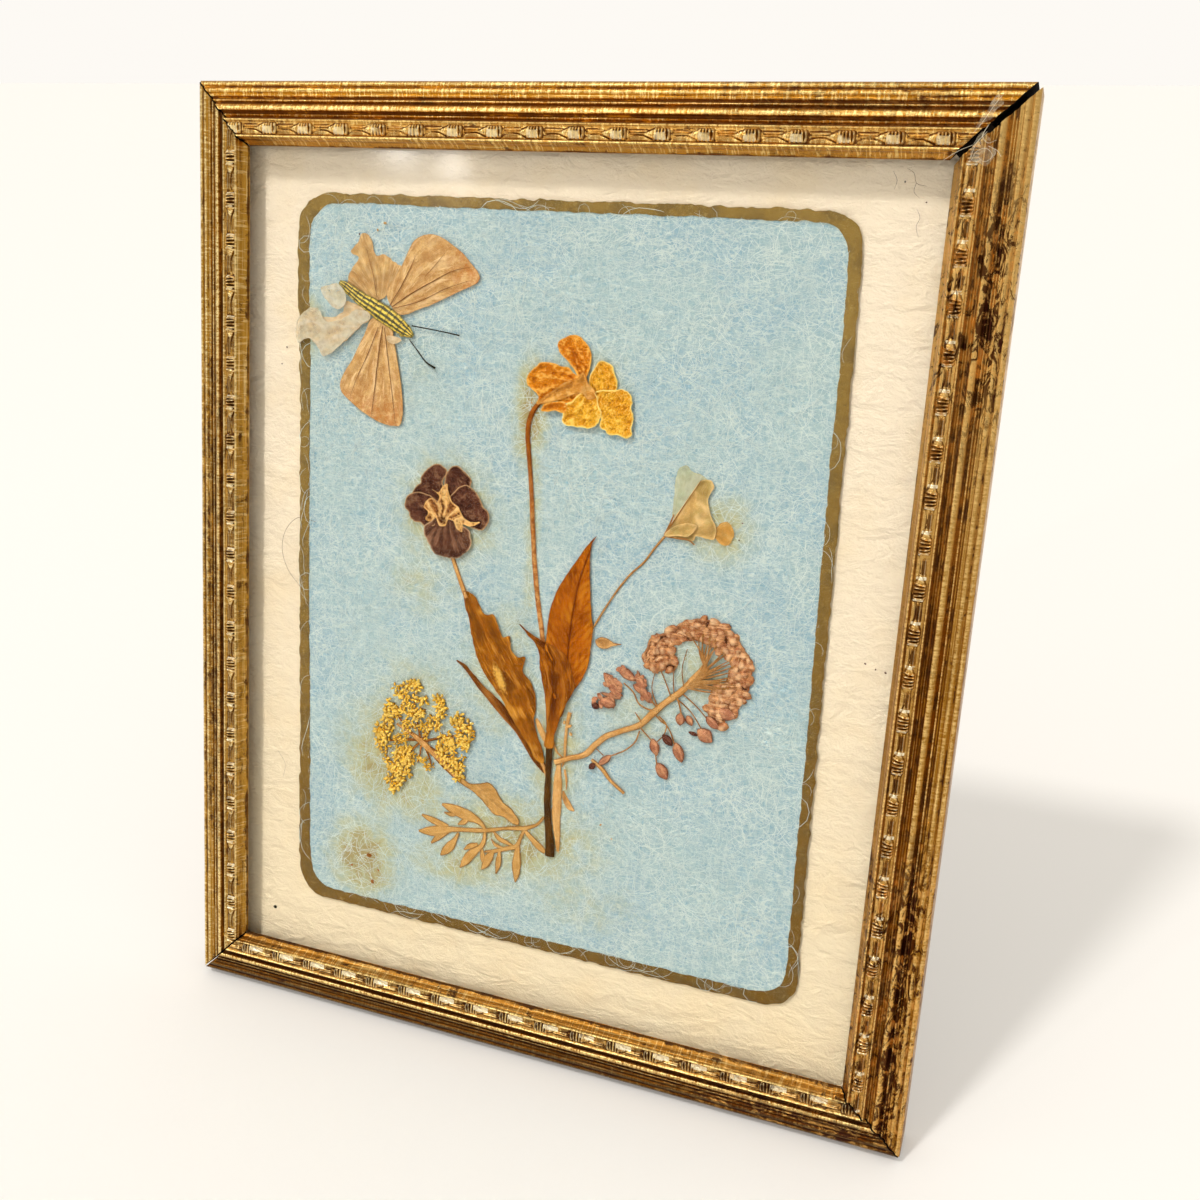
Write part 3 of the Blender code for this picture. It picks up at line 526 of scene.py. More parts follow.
def railLength(side):
    return faceWidth if side in ("top", "bottom") else face["height"]


def buildRail(side, material, gapShade):
    values = railSides[side]
    length = railLength(side)
    profile = smoothLine(moulding["section"], moulding["profileStep"])
    smoothRise = np.convolve(np.pad(profile[:, 1], 8, "edge"), np.ones(17) / 17, "valid")
    hollow = np.clip((smoothRise - profile[:, 1]) * 2.2, -1, 1)
    backs = [(moulding["width"], 0.0), (moulding["rabbet"], 0.0),
             (moulding["rabbet"], -face["railDepth"] + 0.4), (moulding["rabbet"] - 0.4, -face["railDepth"]),
             (0.5, -face["railDepth"]), (0.0, -face["railDepth"] + 0.5)]
    ring = np.vstack([profile, backs])
    hollow = np.concatenate([hollow, np.zeros(len(backs))])
    inward, rise = ring.T
    # the tarnish runs on round the outer wall and the back, where its place across is below nothing
    across = inward.copy()
    across[-4:] = -lineLength(np.vstack([ring[-4:], ring[:1]])[::-1])[:0:-1]
    firstGap, lastGap = [moulding[g] * math.sqrt(2) for g in values["gaps"]]
    stations = int(length / moulding["step"])
    points, marks = [], []
    for k in range(stations + 1):
        t = k / stations
        start, end = inward + firstGap, length - inward - lastGap
        along = start + (end - start) * t
        fade = np.clip(rise + 0.8, 0, 1)
        dents = 0.05 * wobble(along, inward, 7.0, values["seed"]) * fade
        dents += 0.03 * wobble(along, inward * 3, 1.6, values["seed"] + 1) * fade
        points.append(railPlace(side, along, inward, rise + dents - 0.03))
        marks.append(np.column_stack([along, across, hollow]))
    count = len(ring)
    faces = []
    for k in range(stations):
        a, b = k * count, (k + 1) * count
        faces += [(a + i, b + i, b + (i + 1) % count, a + (i + 1) % count) for i in range(count)]
    faces.append(tuple(range(count)))
    last = stations * count
    faces.append(tuple(range(last + count - 1, last - 1, -1)))
    piece = addPiece(f"rail_{side}_stamped", np.vstack(points), faces, material,
                     {"rail": np.vstack(marks)}, replaces=("rail_" + side,))
    # the two end faces, seen in the mitre gaps, take the near-black painted shade
    piece.data.materials.append(gapShade)
    for end in piece.data.polygons[-2:]:
        end.material_index = 1


ornament = {"pitch": 7.0, "centre": 8.02, "halfWidth": 1.0, "floor": 1.80, "alongCells": 64,
            "acrossCells": 20, "claws": (4.35, 4.9, 5.45, 6.0), "clawWidth": 0.15, "relief": 0.72}


def motifRise(a, c):
    # a is 0 to the pitch along the strip, c is -1 at the outer side and 1 at the lip side
    spindleSpan = np.clip(np.minimum(a + 0.5, 3.3 - a) * 2.5, 0, 1)
    bars = np.exp(-((c + 0.42) / 0.13) ** 2) * 0.5 + np.exp(-((c + 0.08) / 0.12) ** 2) * 0.42
    rise = bars * spindleSpan
    leafEdge = 0.16 + ((a - 1.7) / 2.3) ** 2 * 0.75
    leaf = np.clip((c - leafEdge) * 8, 0, 1) * np.clip((0.97 - c) * 10, 0, 1) * np.clip(3.8 - a, 0, 1)
    rise = np.maximum(rise, leaf * (0.2 + 0.05 * np.sin(a * 21 + c * 9)))
    budWidth = 0.22 + 0.75 * np.clip((a - 2.6) / 2.0, 0, 1) ** 1.3
    bud = np.sqrt(np.clip(1 - (c / budWidth) ** 2, 0, 1)) * np.clip((a - 2.2) / 1.2, 0, 1)
    bud *= np.clip((5.2 - a) / 0.8, 0, 1)
    rise = np.maximum(rise, bud * (0.62 + 0.07 * np.sin(a * 16 + c * 5)))
    claws = sum(np.exp(-((a - place - 0.16 * c * (place - 5.2)) / ornament["clawWidth"]) ** 2)
                for place in ornament["claws"])
    claws = claws * (1 - np.abs(c) ** 4) * (1.0 - 0.25 * c)
    gap = np.clip((c - 0.1) * 2, 0, 1) * np.clip((a - 4.2) * 4, 0, 1) * np.clip((6.4 - a) * 4, 0, 1)
    rise = np.maximum(rise - 0.35 * gap, np.clip(claws, 0, 1) * 0.86)
    collar = np.exp(-((a - 6.55 + 0.2 * c ** 2) / 0.16) ** 2) * (1 - np.abs(c) ** 6)
    return np.maximum(rise, collar * 0.7) * np.clip((1.0 - np.abs(c)) * 6, 0, 1)


def buildMotif():
    # One length of the rolled strip, in strip millimetres: x along, y across, z its rise.
    a = np.linspace(0, ornament["pitch"], ornament["alongCells"] + 1)
    c = np.linspace(-1, 1, ornament["acrossCells"] + 1)
    gridA, gridC = np.meshgrid(a, c, indexing="ij")
    rise = motifRise(gridA, gridC)
    blend = np.clip(gridA / 0.5, 0, 1)
    rise = rise * blend
    rise[-1], rise[0] = rise[0], rise[0]
    top = np.column_stack([gridA.ravel(), (gridC * ornament["halfWidth"]).ravel(),
                           rise.ravel() * ornament["relief"]])
    rows, cols = gridA.shape
    faces = gridFaces(rows - 1, cols - 1)[0]
    under = len(top)
    keel = np.vstack([[(x, -ornament["halfWidth"], -0.3), (x, ornament["halfWidth"], -0.3)] for x in a])
    for i in range(rows - 1):
        near, far = under + 2 * i, under + 2 * i + 2
        faces.append((i * cols, near, far, (i + 1) * cols))
        faces.append((i * cols + cols - 1, (i + 1) * cols + cols - 1, far + 1, near + 1))
        faces.append((near, near + 1, far + 1, far))
    return newObject("ornament motif", newMesh("ornament motif", np.vstack([top, keel]), faces))


class GeometryTree(Nodes):
    def __init__(self, name, inputs):
        super().__init__(bpy.data.node_groups.new(name, "GeometryNodeTree"), "")
        self.tree.interface.new_socket("Geometry", in_out="OUTPUT", socket_type="NodeSocketGeometry")
        self.tree.interface.new_socket("Geometry", in_out="INPUT", socket_type="NodeSocketGeometry")
        for label, kind in inputs.items():
            self.tree.interface.new_socket(label, in_out="INPUT", socket_type="NodeSocket" + kind)
        self.start = self.tree.nodes.new("NodeGroupInput")
        self.end = self.tree.nodes.new("NodeGroupOutput")

    def given(self, label):
        return Wire(self, self.start.outputs[label])

    def close(self, geometry):
        # every tree ends by making its instances real and giving them the material
        real = self.node("GeometryNodeRealizeInstances", {}, {0: geometry})
        painted = self.node("GeometryNodeSetMaterial", {}, {0: real, "Material": self.given("Material")})
        self.feed(self.end.inputs[0], painted)

    def run(self, carrier, values):
        # Applies the tree to a carrier object and returns the points and faces that it makes.
        modifier = carrier.modifiers.new(self.tree.name, "NODES")
        modifier.node_group = self.tree
        names = {item.name: item.identifier for item in self.tree.interface.items_tree
                 if item.in_out == "INPUT"}
        for label, value in values.items():
            modifier[names[label]] = value
        bpy.context.view_layer.update()
        ready = carrier.evaluated_get(bpy.context.evaluated_depsgraph_get())
        mesh = bpy.data.meshes.new_from_object(ready)
        points = np.empty(len(mesh.vertices) * 3)
        mesh.vertices.foreach_get("co", points)
        faces = [tuple(p.vertices) for p in mesh.polygons]
        carrier.modifiers.remove(modifier)
        bpy.data.meshes.remove(mesh)
        return points.reshape(-1, 3), faces


def stripTree():
    tree = GeometryTree("rolled strip", {"Motif": "Object", "Pitch": "Vector", "Start": "Vector",
                                         "Count": "Int", "Material": "Material"})
    line = tree.node("GeometryNodeMeshLine", {"mode": "OFFSET"},
                     {"Count": tree.given("Count"), "Start Location": tree.given("Start"),
                      "Offset": tree.given("Pitch")})
    motif = tree.node("GeometryNodeObjectInfo", {}, {"Object": tree.given("Motif")}, "Geometry")
    placed = tree.node("GeometryNodeInstanceOnPoints", {}, {"Points": line, "Instance": motif})
    real = tree.node("GeometryNodeRealizeInstances", {}, {0: placed})
    merged = tree.node("GeometryNodeMergeByDistance", {}, {0: real, "Distance": 0.004})
    tree.close(merged)
    return tree


def buildOrnaments(materials):
    motif, tree = buildMotif(), stripTree()
    carrier = newObject("strip carrier", newMesh("strip carrier", [], []))
    for side, values in railSides.items():
        length = railLength(side)
        pitch = ornament["pitch"]
        count = int(length / pitch) + 1
        start = (length - count * pitch) / 2
        points, faces = tree.run(carrier, {"Motif": motif, "Pitch": (pitch, 0, 0), "Count": count,
                                           "Start": (start, 0, 0), "Material": materials[side]})
        bm = bmesh.new()
        mesh = newMesh("strip", points, faces)
        bm.from_mesh(mesh)
        bpy.data.meshes.remove(mesh)
        for end, gap in zip((0, 1), values["gaps"]):
            slack = moulding[gap] * math.sqrt(2) + ornament["centre"] + 0.02
            place = (slack, 0, 0) if end == 0 else (length - slack, 0, 0)
            normal = (-1, 1, 0) if end == 0 else (1, 1, 0)
            geometry = bm.verts[:] + bm.edges[:] + bm.faces[:]
            bmesh.ops.bisect_plane(bm, geom=geometry, plane_co=place, plane_no=normal, clear_outer=True)
            bmesh.ops.holes_fill(bm, edges=[e for e in bm.edges if e.is_boundary], sides=0)
        bm.verts.index_update()
        points = np.array([tuple(v.co) for v in bm.verts])
        faces = [tuple(v.index for v in f.verts) for f in bm.faces]
        bm.free()
        along, across, rise = points.T
        inward = across + ornament["centre"]
        uneven = 1 + 0.22 * wobble(along, across * 0, 5.0, values["seed"] + 7)
        a, c = np.mod(along - start, pitch), np.clip(across / ornament["halfWidth"], -1, 1)
        around = sum(motifRise(np.mod(a + da, pitch), np.clip(c + dc, -1, 1))
                     for da, dc in ((0.3, 0), (-0.3, 0), (0, 0.26), (0, -0.26))) / 4
        hollow = np.clip((around - rise / ornament["relief"]) * 4.5, -1, 1)
        rise = rise * uneven + 0.03 * wobble(along, across, 0.5, values["seed"] + 9)
        # gleam: painted highlights on each stamped length, and painted shade where the amount is below
        # nothing
        gleam = np.zeros_like(a)
        for low, high, outer, inner, amount in brassLooks[side]["gleams"]:
            step = np.mod(a - low, pitch)
            inside = np.clip(np.minimum(step, high - low - step) * 5, 0, 1)
            gleam += amount * inside * np.clip(np.minimum(c - outer, inner - c) * 5, 0, 1)
        gleam *= 1 + 0.8 * wobble(along, across, 3.0, values["seed"] + 13)
        addPiece(f"rail_{side}_ornament", railPlace(side, along, inward, ornament["floor"] + rise), faces,
                 materials[side],
                 {"rail": np.column_stack([along, inward, hollow]), "gleam": np.column_stack([gleam] * 3)})
    bpy.data.objects.remove(carrier)
    bpy.data.objects.remove(motif)


# dark blocks behind and in each mitre gap, near black so the gap shows painted shade: the places of the two
# ends in from the corner, half width, and depths
gapShadeBlocks = {"brace": (0.75, 5.0, 1.5, 3.2, 7.0), "tab": (5.4, 9.6, 0.8, -0.3, 0.2)}


def buildGapShadeBlocks(material):
    corners = {"top_left": (0, 0), "top_right": (1, 0), "bottom_right": (1, 1), "bottom_left": (0, 1)}
    faces = [(0, 1, 2, 3), (7, 6, 5, 4), (0, 4, 5, 1), (1, 5, 6, 2), (2, 6, 7, 3), (3, 7, 4, 0)]
    for key, (near, far, half, front, back) in gapShadeBlocks.items():
        for name, (x, y) in corners.items():
            points = []
            for depth in (front, back):
                for reach, side in ((near, -1), (near, 1), (far, 1), (far, -1)):
                    across, down = reach + (1 + side) * half * 0.7, reach + (1 - side) * half * 0.7
                    points.append((faceWidth - across if x else across,
                                   face["height"] - down if y else down, depth))
            addPiece(f"corner_{key}_{name}", points, faces, material, smooth=False)


brassLooks = {
    # gold, pale for painted highlights and worn high points, tarnish, how much of the rail is tarnished,
    # and the lengths where it is worst;
    # gleams: painted highlights along one stamped length, across it, and how bright (or, below nothing, how
    # dark a painted shade)
    "top": {"gold": (192, 128, 30), "pale": (255, 226, 148), "dark": (98, 46, 2), "tarnish": 0.25,
            "worst": [(96, 132)], "hatch": 0.8, "worn": 1.0, "outer": 0.0, "band": 0.24, "groove": 0.62,
            "eaten": 0.25, "gleams": [(4.1, 6.2, -0.5, 0.9, 0.7), (0.2, 2.6, -0.1, 1.0, -0.5)]},
    "right": {"gold": (168, 116, 36), "pale": (246, 208, 134), "dark": (74, 29, 2), "tarnish": 0.24,
              "worst": [(16, 46), (118, 180)], "hatch": 0.25, "worn": 0.8, "outer": 0.0, "band": 0.2,
              "groove": 0.34, "eaten": 1.0, "paintedSheen": 0.55,
              "gleams": [(3.0, 3.7, -0.9, 0.8, 1.0), (6.4, 7.0, -0.8, 0.9, 1.0),
                         (0.5, 2.9, -0.6, 0.5, -0.8)]},
    "bottom": {"gold": (168, 108, 26), "pale": (255, 226, 150), "dark": (52, 21, 2), "tarnish": 0.34,
               "worst": [(0, 34)], "hatch": 0.4, "worn": 1.0, "outer": 0.84, "band": 0.14, "groove": 0.9,
               "eaten": 0.5, "gleams": [(2.0, 5.2, -0.1, 0.9, 1.0), (5.7, 8.6, -0.4, 0.9, -0.8)]},
    "left": {"gold": (182, 132, 44), "pale": (255, 230, 164), "dark": (88, 46, 2), "tarnish": 0.28,
             "worst": [(30, 120)], "hatch": 0.5, "worn": 1.0, "outer": 0.0, "band": 0.08, "groove": 0.62,
             "eaten": 0.35, "gleams": [(6.2, 7.0, -0.9, 0.9, 1.0), (4.2, 4.9, -0.9, 0.6, 0.7),
                                       (0.4, 3.4, -0.7, 0.9, -0.7)]},
}


def brassPaint(side):
    look = brassLooks[side]
    paint = Paint(f"gilt brass {side}")
    along, inward, hollow = paint.parts(paint.attribute("rail"))
    flat = paint.vector(along, inward, railSides[side]["seed"] * 1.0)
    streak = paint.noise(paint.stretch(flat, (0.10, 2.2, 1.0)), 1.0, 4.0, 0.62)
    scratch = paint.noise(paint.stretch(flat, (0.05, 5.0, 1.0)), 0.8, 3.0, 0.6)
    flake = paint.noise(paint.stretch(flat, (0.7, 1.3, 1.0)), 2.6, 6.0, 0.72, 0.5)
    grain = paint.noise(flat, 0.42, 4.0, 0.65)
    pits = paint.noise(flat, 0.55, 3.0, 0.7, 0.3)
    strokes = paint.noise(paint.stretch(flat, (2.2, 0.42, 1.0), 0.5), 0.8, 3.0, 0.6)
    near = sum(along.ramp(low - 14, low + 8) * (1 - along.ramp(high - 8, high + 14))
               for low, high in look["worst"])
    eaten = near * look["eaten"]
    near = near * (1 - inward.ramp(5.2, 6.4) * 0.7)
    sunken = hollow.ramp(0.0, 0.5)
    raised = (1 - hollow.ramp(-0.55, -0.04)) * look["worn"]
    # tarnish, with painted shade in the grooves by sunken times groove, less on raised parts
    tarnishAndShade = sunken * look["groove"] + (flake - 0.5) * 2.4 + (streak - 0.5) * 1.2 + (look["tarnish"] - 0.30)
    tarnishAndShade = (tarnishAndShade + near * (0.24 - 0.18 * look["eaten"]) - raised * 0.35).ramp(0.22, 0.42)
    spots = pits.ramp(0.63, 0.67) * (0.35 + look["tarnish"])
    dark = (tarnishAndShade * 0.9 + spots * (1 - tarnishAndShade)).apply("MINIMUM", 1.0)
    base = paint.mix(streak.ramp(0.35, 0.7) * 0.6, tone(*look["gold"]), tone(*look["gold"], scale=0.8))
    # painted highlights in the pale colour: on raised parts, where the gilding is also worn, on the rolled
    # hatching, on the scratch lines and along the ornament band
    shine = raised * (grain * 0.5 + strokes * 0.5).ramp(0.38, 0.56)
    shine = shine + strokes.ramp(0.54, 0.62) * look["hatch"] * 0.75 * (1 - sunken)
    shine = shine + scratch.ramp(0.58, 0.70) * 0.5
    band = inward.ramp(6.4, 6.7) * (1 - inward.ramp(8.4, 9.6) * 0.6) * look["band"]
    shine = shine + band * (1 - sunken) * grain.ramp(0.3, 0.6, 0.6, 1.2)
    base = paint.mix(shine.apply("MINIMUM", 1.0), base, tone(*look["pale"]))
    # painted sheen: the rail paler towards the start of its length
    if "paintedSheen" in look:
        base = paint.mix((1 - along.ramp(20, 95)) * look["paintedSheen"], base, tone(232, 192, 118))
    base = paint.mix(dark * 0.94, base, tone(*look["dark"]))
    deep = flake * 0.6 + grain * 0.4 + near * (0.10 - 0.08 * look["eaten"]) + sunken * 0.05
    deep = (deep.ramp(0.56, 0.64) * look["tarnish"] * 1.7).apply("MINIMUM", 0.95)
    base = paint.mix(deep, base, tone(50, 14, 3))
    base = paint.mix((1 - inward.ramp(3.5, 4.3)) * look["outer"], base, tone(*look["dark"]))
    slot = (scratch.ramp(0.28, 0.38, 1.0, 0.0) * 0.6).apply("MINIMUM", 1.0)
    base = paint.mix(slot, base, tone(*look["dark"]))
    height = strokes * look["hatch"] * 0.8 + grain * 0.4 + pits * 0.3 + scratch * 0.4
    gleam = paint.parts(paint.attribute("gleam"))[0]
    stamped = inward.ramp(6.9, 7.1) * (1 - inward.ramp(8.95, 9.15))
    # painted shade where the gleam is below nothing
    base = paint.mix((gleam * -1.0).ramp(0.0, 0.7) * 0.6, base, tone(*look["dark"]))
    # painted shade in the hollows of the stamped ornament
    base = paint.mix(stamped * hollow.ramp(0.10, 0.6) * 0.64, base, tone(78, 40, 8))
    # painted highlight on the raised ornament and on the gleams
    glow = stamped * (1 - hollow.ramp(-0.9, -0.25)) * grain.ramp(0.3, 0.5, 0.5, 1.0) * 0.5
    glow = (glow + gleam.ramp(0.35, 0.6) * grain.ramp(0.3, 0.55, 0.65, 1.1)).apply("MINIMUM", 1.0)
    base = paint.mix(glow * 0.9, base, tone(255, 244, 212))
    crust = paint.noise(paint.stretch(flat, (0.55, 1.2, 1.0)), 1.5, 6.0, 0.75, 1.4)
    base = paint.mix(eaten * (1 - crust.ramp(0.42, 0.50)) * 0.6, base, tone(230, 174, 94))
    zone = inward.ramp(1.2, 2.2) * (1 - inward.ramp(4.2, 5.4))
    base = paint.mix(eaten * (crust + zone * 0.075 - 0.025).ramp(0.53, 0.56) * 0.92, base, tone(62, 17, 2))
    normal = paint.bump(height, 0.8, 0.00024)
    rough = 0.24 + grain * 0.14 + dark * 0.34
    return paint.finish(base, rough, 1.0 - dark * 0.5, normal, Specular_IOR_Level=0.2)


def buildFrame():
    materials = {side: brassPaint(side) for side in railSides}
    # near-black painted shade for the mitre gaps, with a slight mottle
    gapShade = Paint("sooty saw cut")
    shadeMottle = gapShade.noise(gapShade.node("TexCoord", {}, {}, "Object"), 0.0012)
    gapShade.finish(gapShade.mix(shadeMottle, tone(12, 9, 6), tone(30, 20, 12)), shadeMottle * 0.2 + 0.8, Specular_IOR_Level=0.1)
    for side in railSides:
        buildRail(side, materials[side], gapShade.material)
    buildOrnaments(materials)
    buildGapShadeBlocks(gapShade.material)
    print("rails and ornament made")


# The easel's parts keep their CAD shapes.
easelLooks = {
    "easel_strut": {"gold": (178, 138, 74), "dark": (92, 58, 22), "metal": 0.9},
    "hinge_bracket": {"gold": (168, 128, 66), "dark": (84, 52, 20), "metal": 0.9},
    "hinge_pin": {"gold": (158, 154, 146), "dark": (90, 80, 68), "metal": 1.0},
}


def paintEasel():
    for node, look in easelLooks.items():
        paint = Paint("worn " + node)
        place = paint.node("TexCoord", {}, {}, "Object")
        brushed = paint.noise(paint.stretch(place, (1.0, 1.0, 0.06)), 0.0006, 3.0, 0.6)
        cloud = paint.noise(place, 0.009, 5.0, 0.65, 0.4)
        spots = paint.noise(place, 0.0014, 3.0, 0.7).ramp(0.60, 0.66)
        tarnish = (cloud.ramp(0.46, 0.66) * 0.7 + spots * 0.5).apply("MINIMUM", 1.0)
        worn = tone(*look["gold"], scale=1.18)
        base = paint.mix(brushed.ramp(0.35, 0.65) * 0.4, tone(*look["gold"]), worn)
        base = paint.mix(tarnish, base, tone(*look["dark"]))
        paint.finish(base, brushed * 0.15 + tarnish * 0.3 + 0.26, tarnish * -0.5 + look["metal"],
                     paint.bump(brushed + spots * 0.6, 0.4, 0.0001))
        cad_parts[node].material_slots[0].material = paint.material
    print("easel painted")


# Glass, card, panel and border
pack = {"inset": 6.5, "glassFront": 0.25, "glassBack": 1.15, "cardDepth": 2.85, "cardBack": 4.35,
        "boardFront": 4.65, "boardBack": 6.65}


def boxSheet(cell, front, back, relief):
    # A rectangular board whose front follows a relief.
    inset = pack["inset"]
    columns = int((faceWidth - 2 * inset) / cell)
    rows = int((face["height"] - 2 * inset) / cell)
    x = np.linspace(inset, faceWidth - inset, columns + 1)
    y = np.linspace(inset, face["height"] - inset, rows + 1)
    gridX, gridY = [g.ravel() for g in np.meshgrid(x, y, indexing="ij")]
    lift = relief(gridX, gridY)
    count = len(gridX)
    quads, rim = gridFaces(columns, rows)
    points = np.column_stack([gridX, gridY, front - lift])
    flatBack = np.array([(gridX[i], gridY[i], back) for i in rim])
    faces = quads + [(rim[k], rim[(k + 1) % len(rim)], count + (k + 1) % len(rim), count + k)
                     for k in range(len(rim))]
    faces.append(tuple(range(count, count + len(rim)))[::-1])
    return np.vstack([points, flatBack]), faces


def cardPaint():
    paint = Paint("cream card")
    place = paint.attribute("face")
    y = paint.parts(place)[1]
    ripple = paint.noise(paint.stretch(place, (0.6, 1.0, 1.0)), 3.0, 4.0, 0.6, 0.4)
    tooth = paint.noise(place, 0.35, 3.0, 0.6)
    mottle = paint.noise(place, 16.0, 4.0, 0.6)
    rise = y.ramp(40, 165)
    colour = paint.mix(rise, tone(236, 221, 195), tone(230, 213, 178))
    colour = paint.mix(mottle.ramp(0.42, 0.72) * 0.45, colour, tone(230, 206, 162))
    colour = paint.mix((paint.noise(place, 1.2, 4.0, 0.7) > 0.74) * 0.35, colour, tone(190, 160, 110))
    normal = paint.bump(ripple * 1.6 + tooth * 0.2, 0.8, 0.0007)
    return paint.finish(colour, 0.92, 0.0, normal)


def buildCard():
    def relief(x, y):
        return 0.10 * wobble(x * 0.3, y, 2.6, 5) + 0.05 * wobble(x * 0.5, y, 1.1, 6)
    points, faces = boxSheet(0.9, pack["cardDepth"], pack["cardBack"], relief)
    addPiece("cream_card", points, faces, cardPaint(), replaces=("mount_card",))
    points, faces = boxSheet(4.0, pack["boardBack"], pack["boardFront"], lambda x, y: x * 0)
    board = Paint("backing board")
    place = board.attribute("face")
    fibre = board.noise(board.stretch(place, (1.0, 0.15, 1.0)), 0.8, 4.0, 0.6)
    colour = board.mix(board.noise(place, 12.0, 4.0, 0.6).ramp(0.3, 0.7), tone(104, 82, 58),
                       tone(78, 58, 40))
    colour = board.mix(fibre.ramp(0.45, 0.75) * 0.5, colour, tone(132, 108, 78))
    board.finish(colour, 0.9, 0.0, board.bump(fibre, 0.5, 0.0003))
    addPiece("backing_board_sheet", points, faces, board.material,
             replaces=("backing_board",), smooth=False)
    points, faces = boxSheet(20.0, pack["glassFront"], pack["glassBack"], lambda x, y: x * 0)
    glass = Paint("clear glass")
    glass.finish((1.0, 1.0, 1.0), 0.1, 0.0, None, Transmission_Weight=1.0, IOR=1.10)
    pane = addPiece("glass_sheet", points, faces, glass.material, replaces=("glass_pane",),
                    smooth=False)
    pane.visible_shadow = False  # lamps reach what lies under the glass
    print("card, board and glass made")


panelShape = {
    "outline": pairs(199, 240, 204, 216, 218, 198, 240, 188, 600, 185, 1120, 185, 1144, 192, 1160, 210,
        1166, 240, 1174, 700, 1186, 1380, 1186, 1435, 1174, 1466, 1152, 1480, 1120, 1484, 700, 1483, 275,
        1483, 244, 1472, 226, 1450, 216, 1410, 208, 800),
    "borderOut": pairs(191, 254, 193, 230, 199, 212, 210, 197, 225, 186, 244, 180, 270, 178, 600, 177.5,
        1080, 178, 1120, 179, 1146, 186, 1162, 200, 1171, 220, 1174, 250, 1180, 600, 1187, 1000, 1194, 1380,
        1197, 1420, 1195, 1446, 1186, 1468, 1169, 1483, 1146, 1491, 1110, 1492, 700, 1492, 280, 1492, 254,
        1490, 234, 1479, 219, 1460, 212, 1434, 209, 1380, 207, 1100, 203, 900, 198, 490),
    "borderIn": pairs(214, 260, 216, 238, 223, 220, 235, 206, 252, 197, 280, 194, 600, 194.5, 1080, 195,
        1110, 196, 1132, 203, 1146, 217, 1152, 236, 1155, 270, 1160, 600, 1168, 1000, 1174, 1360, 1176,
        1406, 1173, 1434, 1163, 1454, 1146, 1466, 1120, 1471, 1090, 1471, 700, 1471, 300, 1471, 272, 1469,
        252, 1458, 240, 1440, 235, 1414, 232, 1360, 228, 1100, 223, 900, 219, 490),
    # stains: x, y, reach across, reach down, strength
    "stains": [(46, 107, 12, 12, 0.34), (39, 118, 9, 11, 0.72), (45, 124, 7, 6, 0.6),
        (50, 70.5, 10, 9.5, 0.62), (65.0, 52, 3.0, 9, 0.9), (66.4, 70, 1.6, 22, 0.4), (74, 47, 8.5, 7, 0.4),
        (99, 68, 6, 6, 0.6), (67, 128, 15, 8, 0.66), (56, 136, 12, 5, 0.5), (35, 139, 7, 7.0, 1.0),
        (36, 143, 3.4, 3.4, 0.95), (73, 112, 5, 20, 0.55), (62, 98, 8, 13, 0.45), (37, 45, 14, 16, 0.2),
        (97, 92, 9, 9, 0.35), (88, 102, 10, 6, 0.3), (22, 40, 3, 6, 0.5), (80, 138, 14, 7, 0.25),
        (46, 84, 9, 7, 0.3)],
}


def panelPaint():
    paint = Paint("blue tissue")
    place = paint.attribute("face")
    stain = paint.parts(paint.attribute("stain"))[0]
    weave = paint.noise(place, 1.3, 5.0, 0.68, 1.2)
    threads = paint.noise(paint.stretch(place, (0.35, 1.6, 1.0), 0.35), 0.8, 4.0, 0.6, 1.0)
    threads = threads + paint.noise(paint.stretch(place, (1.6, 0.35, 1.0), 0.5), 0.8, 4.0, 0.6, 1.0)
    patch = paint.noise(place, 13.0, 4.0, 0.55)
    colour = paint.mix(patch.ramp(0.35, 0.65), tone(143, 175, 188), tone(157, 184, 187))
    colour = paint.mix(weave.ramp(0.42, 0.68), colour, tone(170, 193, 194))
    colour = paint.mix(threads.ramp(1.02, 1.22) * 0.6, colour, tone(200, 214, 208))
    colour = paint.mix((1 - threads.ramp(0.74, 0.94)) * 0.7, colour, tone(120, 160, 178))
    for turn, size in ((0.3, 1.5), (1.4, 1.9), (2.4, 1.2)):
        turned = paint.stretch(place, (0.55, 1.2, 1.0), turn, (turn * 9, 3.0, 0.0))
        curl = paint.noise(turned, size, 2.0, 0.5, 0.9)
        thread = 1 - ((curl - 0.5).apply("ABSOLUTE") * 50.0).apply("MINIMUM", 1.0)
        colour = paint.mix(thread * 0.85, colour, tone(210, 222, 214))
    blotch = paint.noise(place, 3.4, 4.0, 0.65, 0.6) - 0.5
    soak = (stain + blotch * stain * 2.4 + blotch * 0.10).apply("MINIMUM", 1.0)
    colour = paint.mix(soak.ramp(0.05, 0.62) * 0.74, colour, tone(186, 180, 118))
    colour = paint.mix(soak.ramp(0.5, 0.95) * 0.7, colour, tone(156, 130, 62))
    speck = paint.noise(place, 0.5, 2.0, 0.6)
    colour = paint.mix(speck.ramp(0.72, 0.76) * 0.6, colour, tone(92, 96, 84))
    normal = paint.bump(weave + threads * 0.7, 0.7, 0.0004)
    return paint.finish(colour, 0.96, 0.0, normal)


def stainAt(x, y):
    total = np.zeros_like(x)
    for centreX, centreY, reachX, reachY, strength in panelShape["stains"]:
        away = ((x - centreX) / reachX) ** 2 + ((y - centreY) / reachY) ** 2
        total = np.maximum(total, strength * np.exp(-away * 1.1)) + 0.12 * strength * np.exp(-away)
    return np.clip(total, 0, 1)


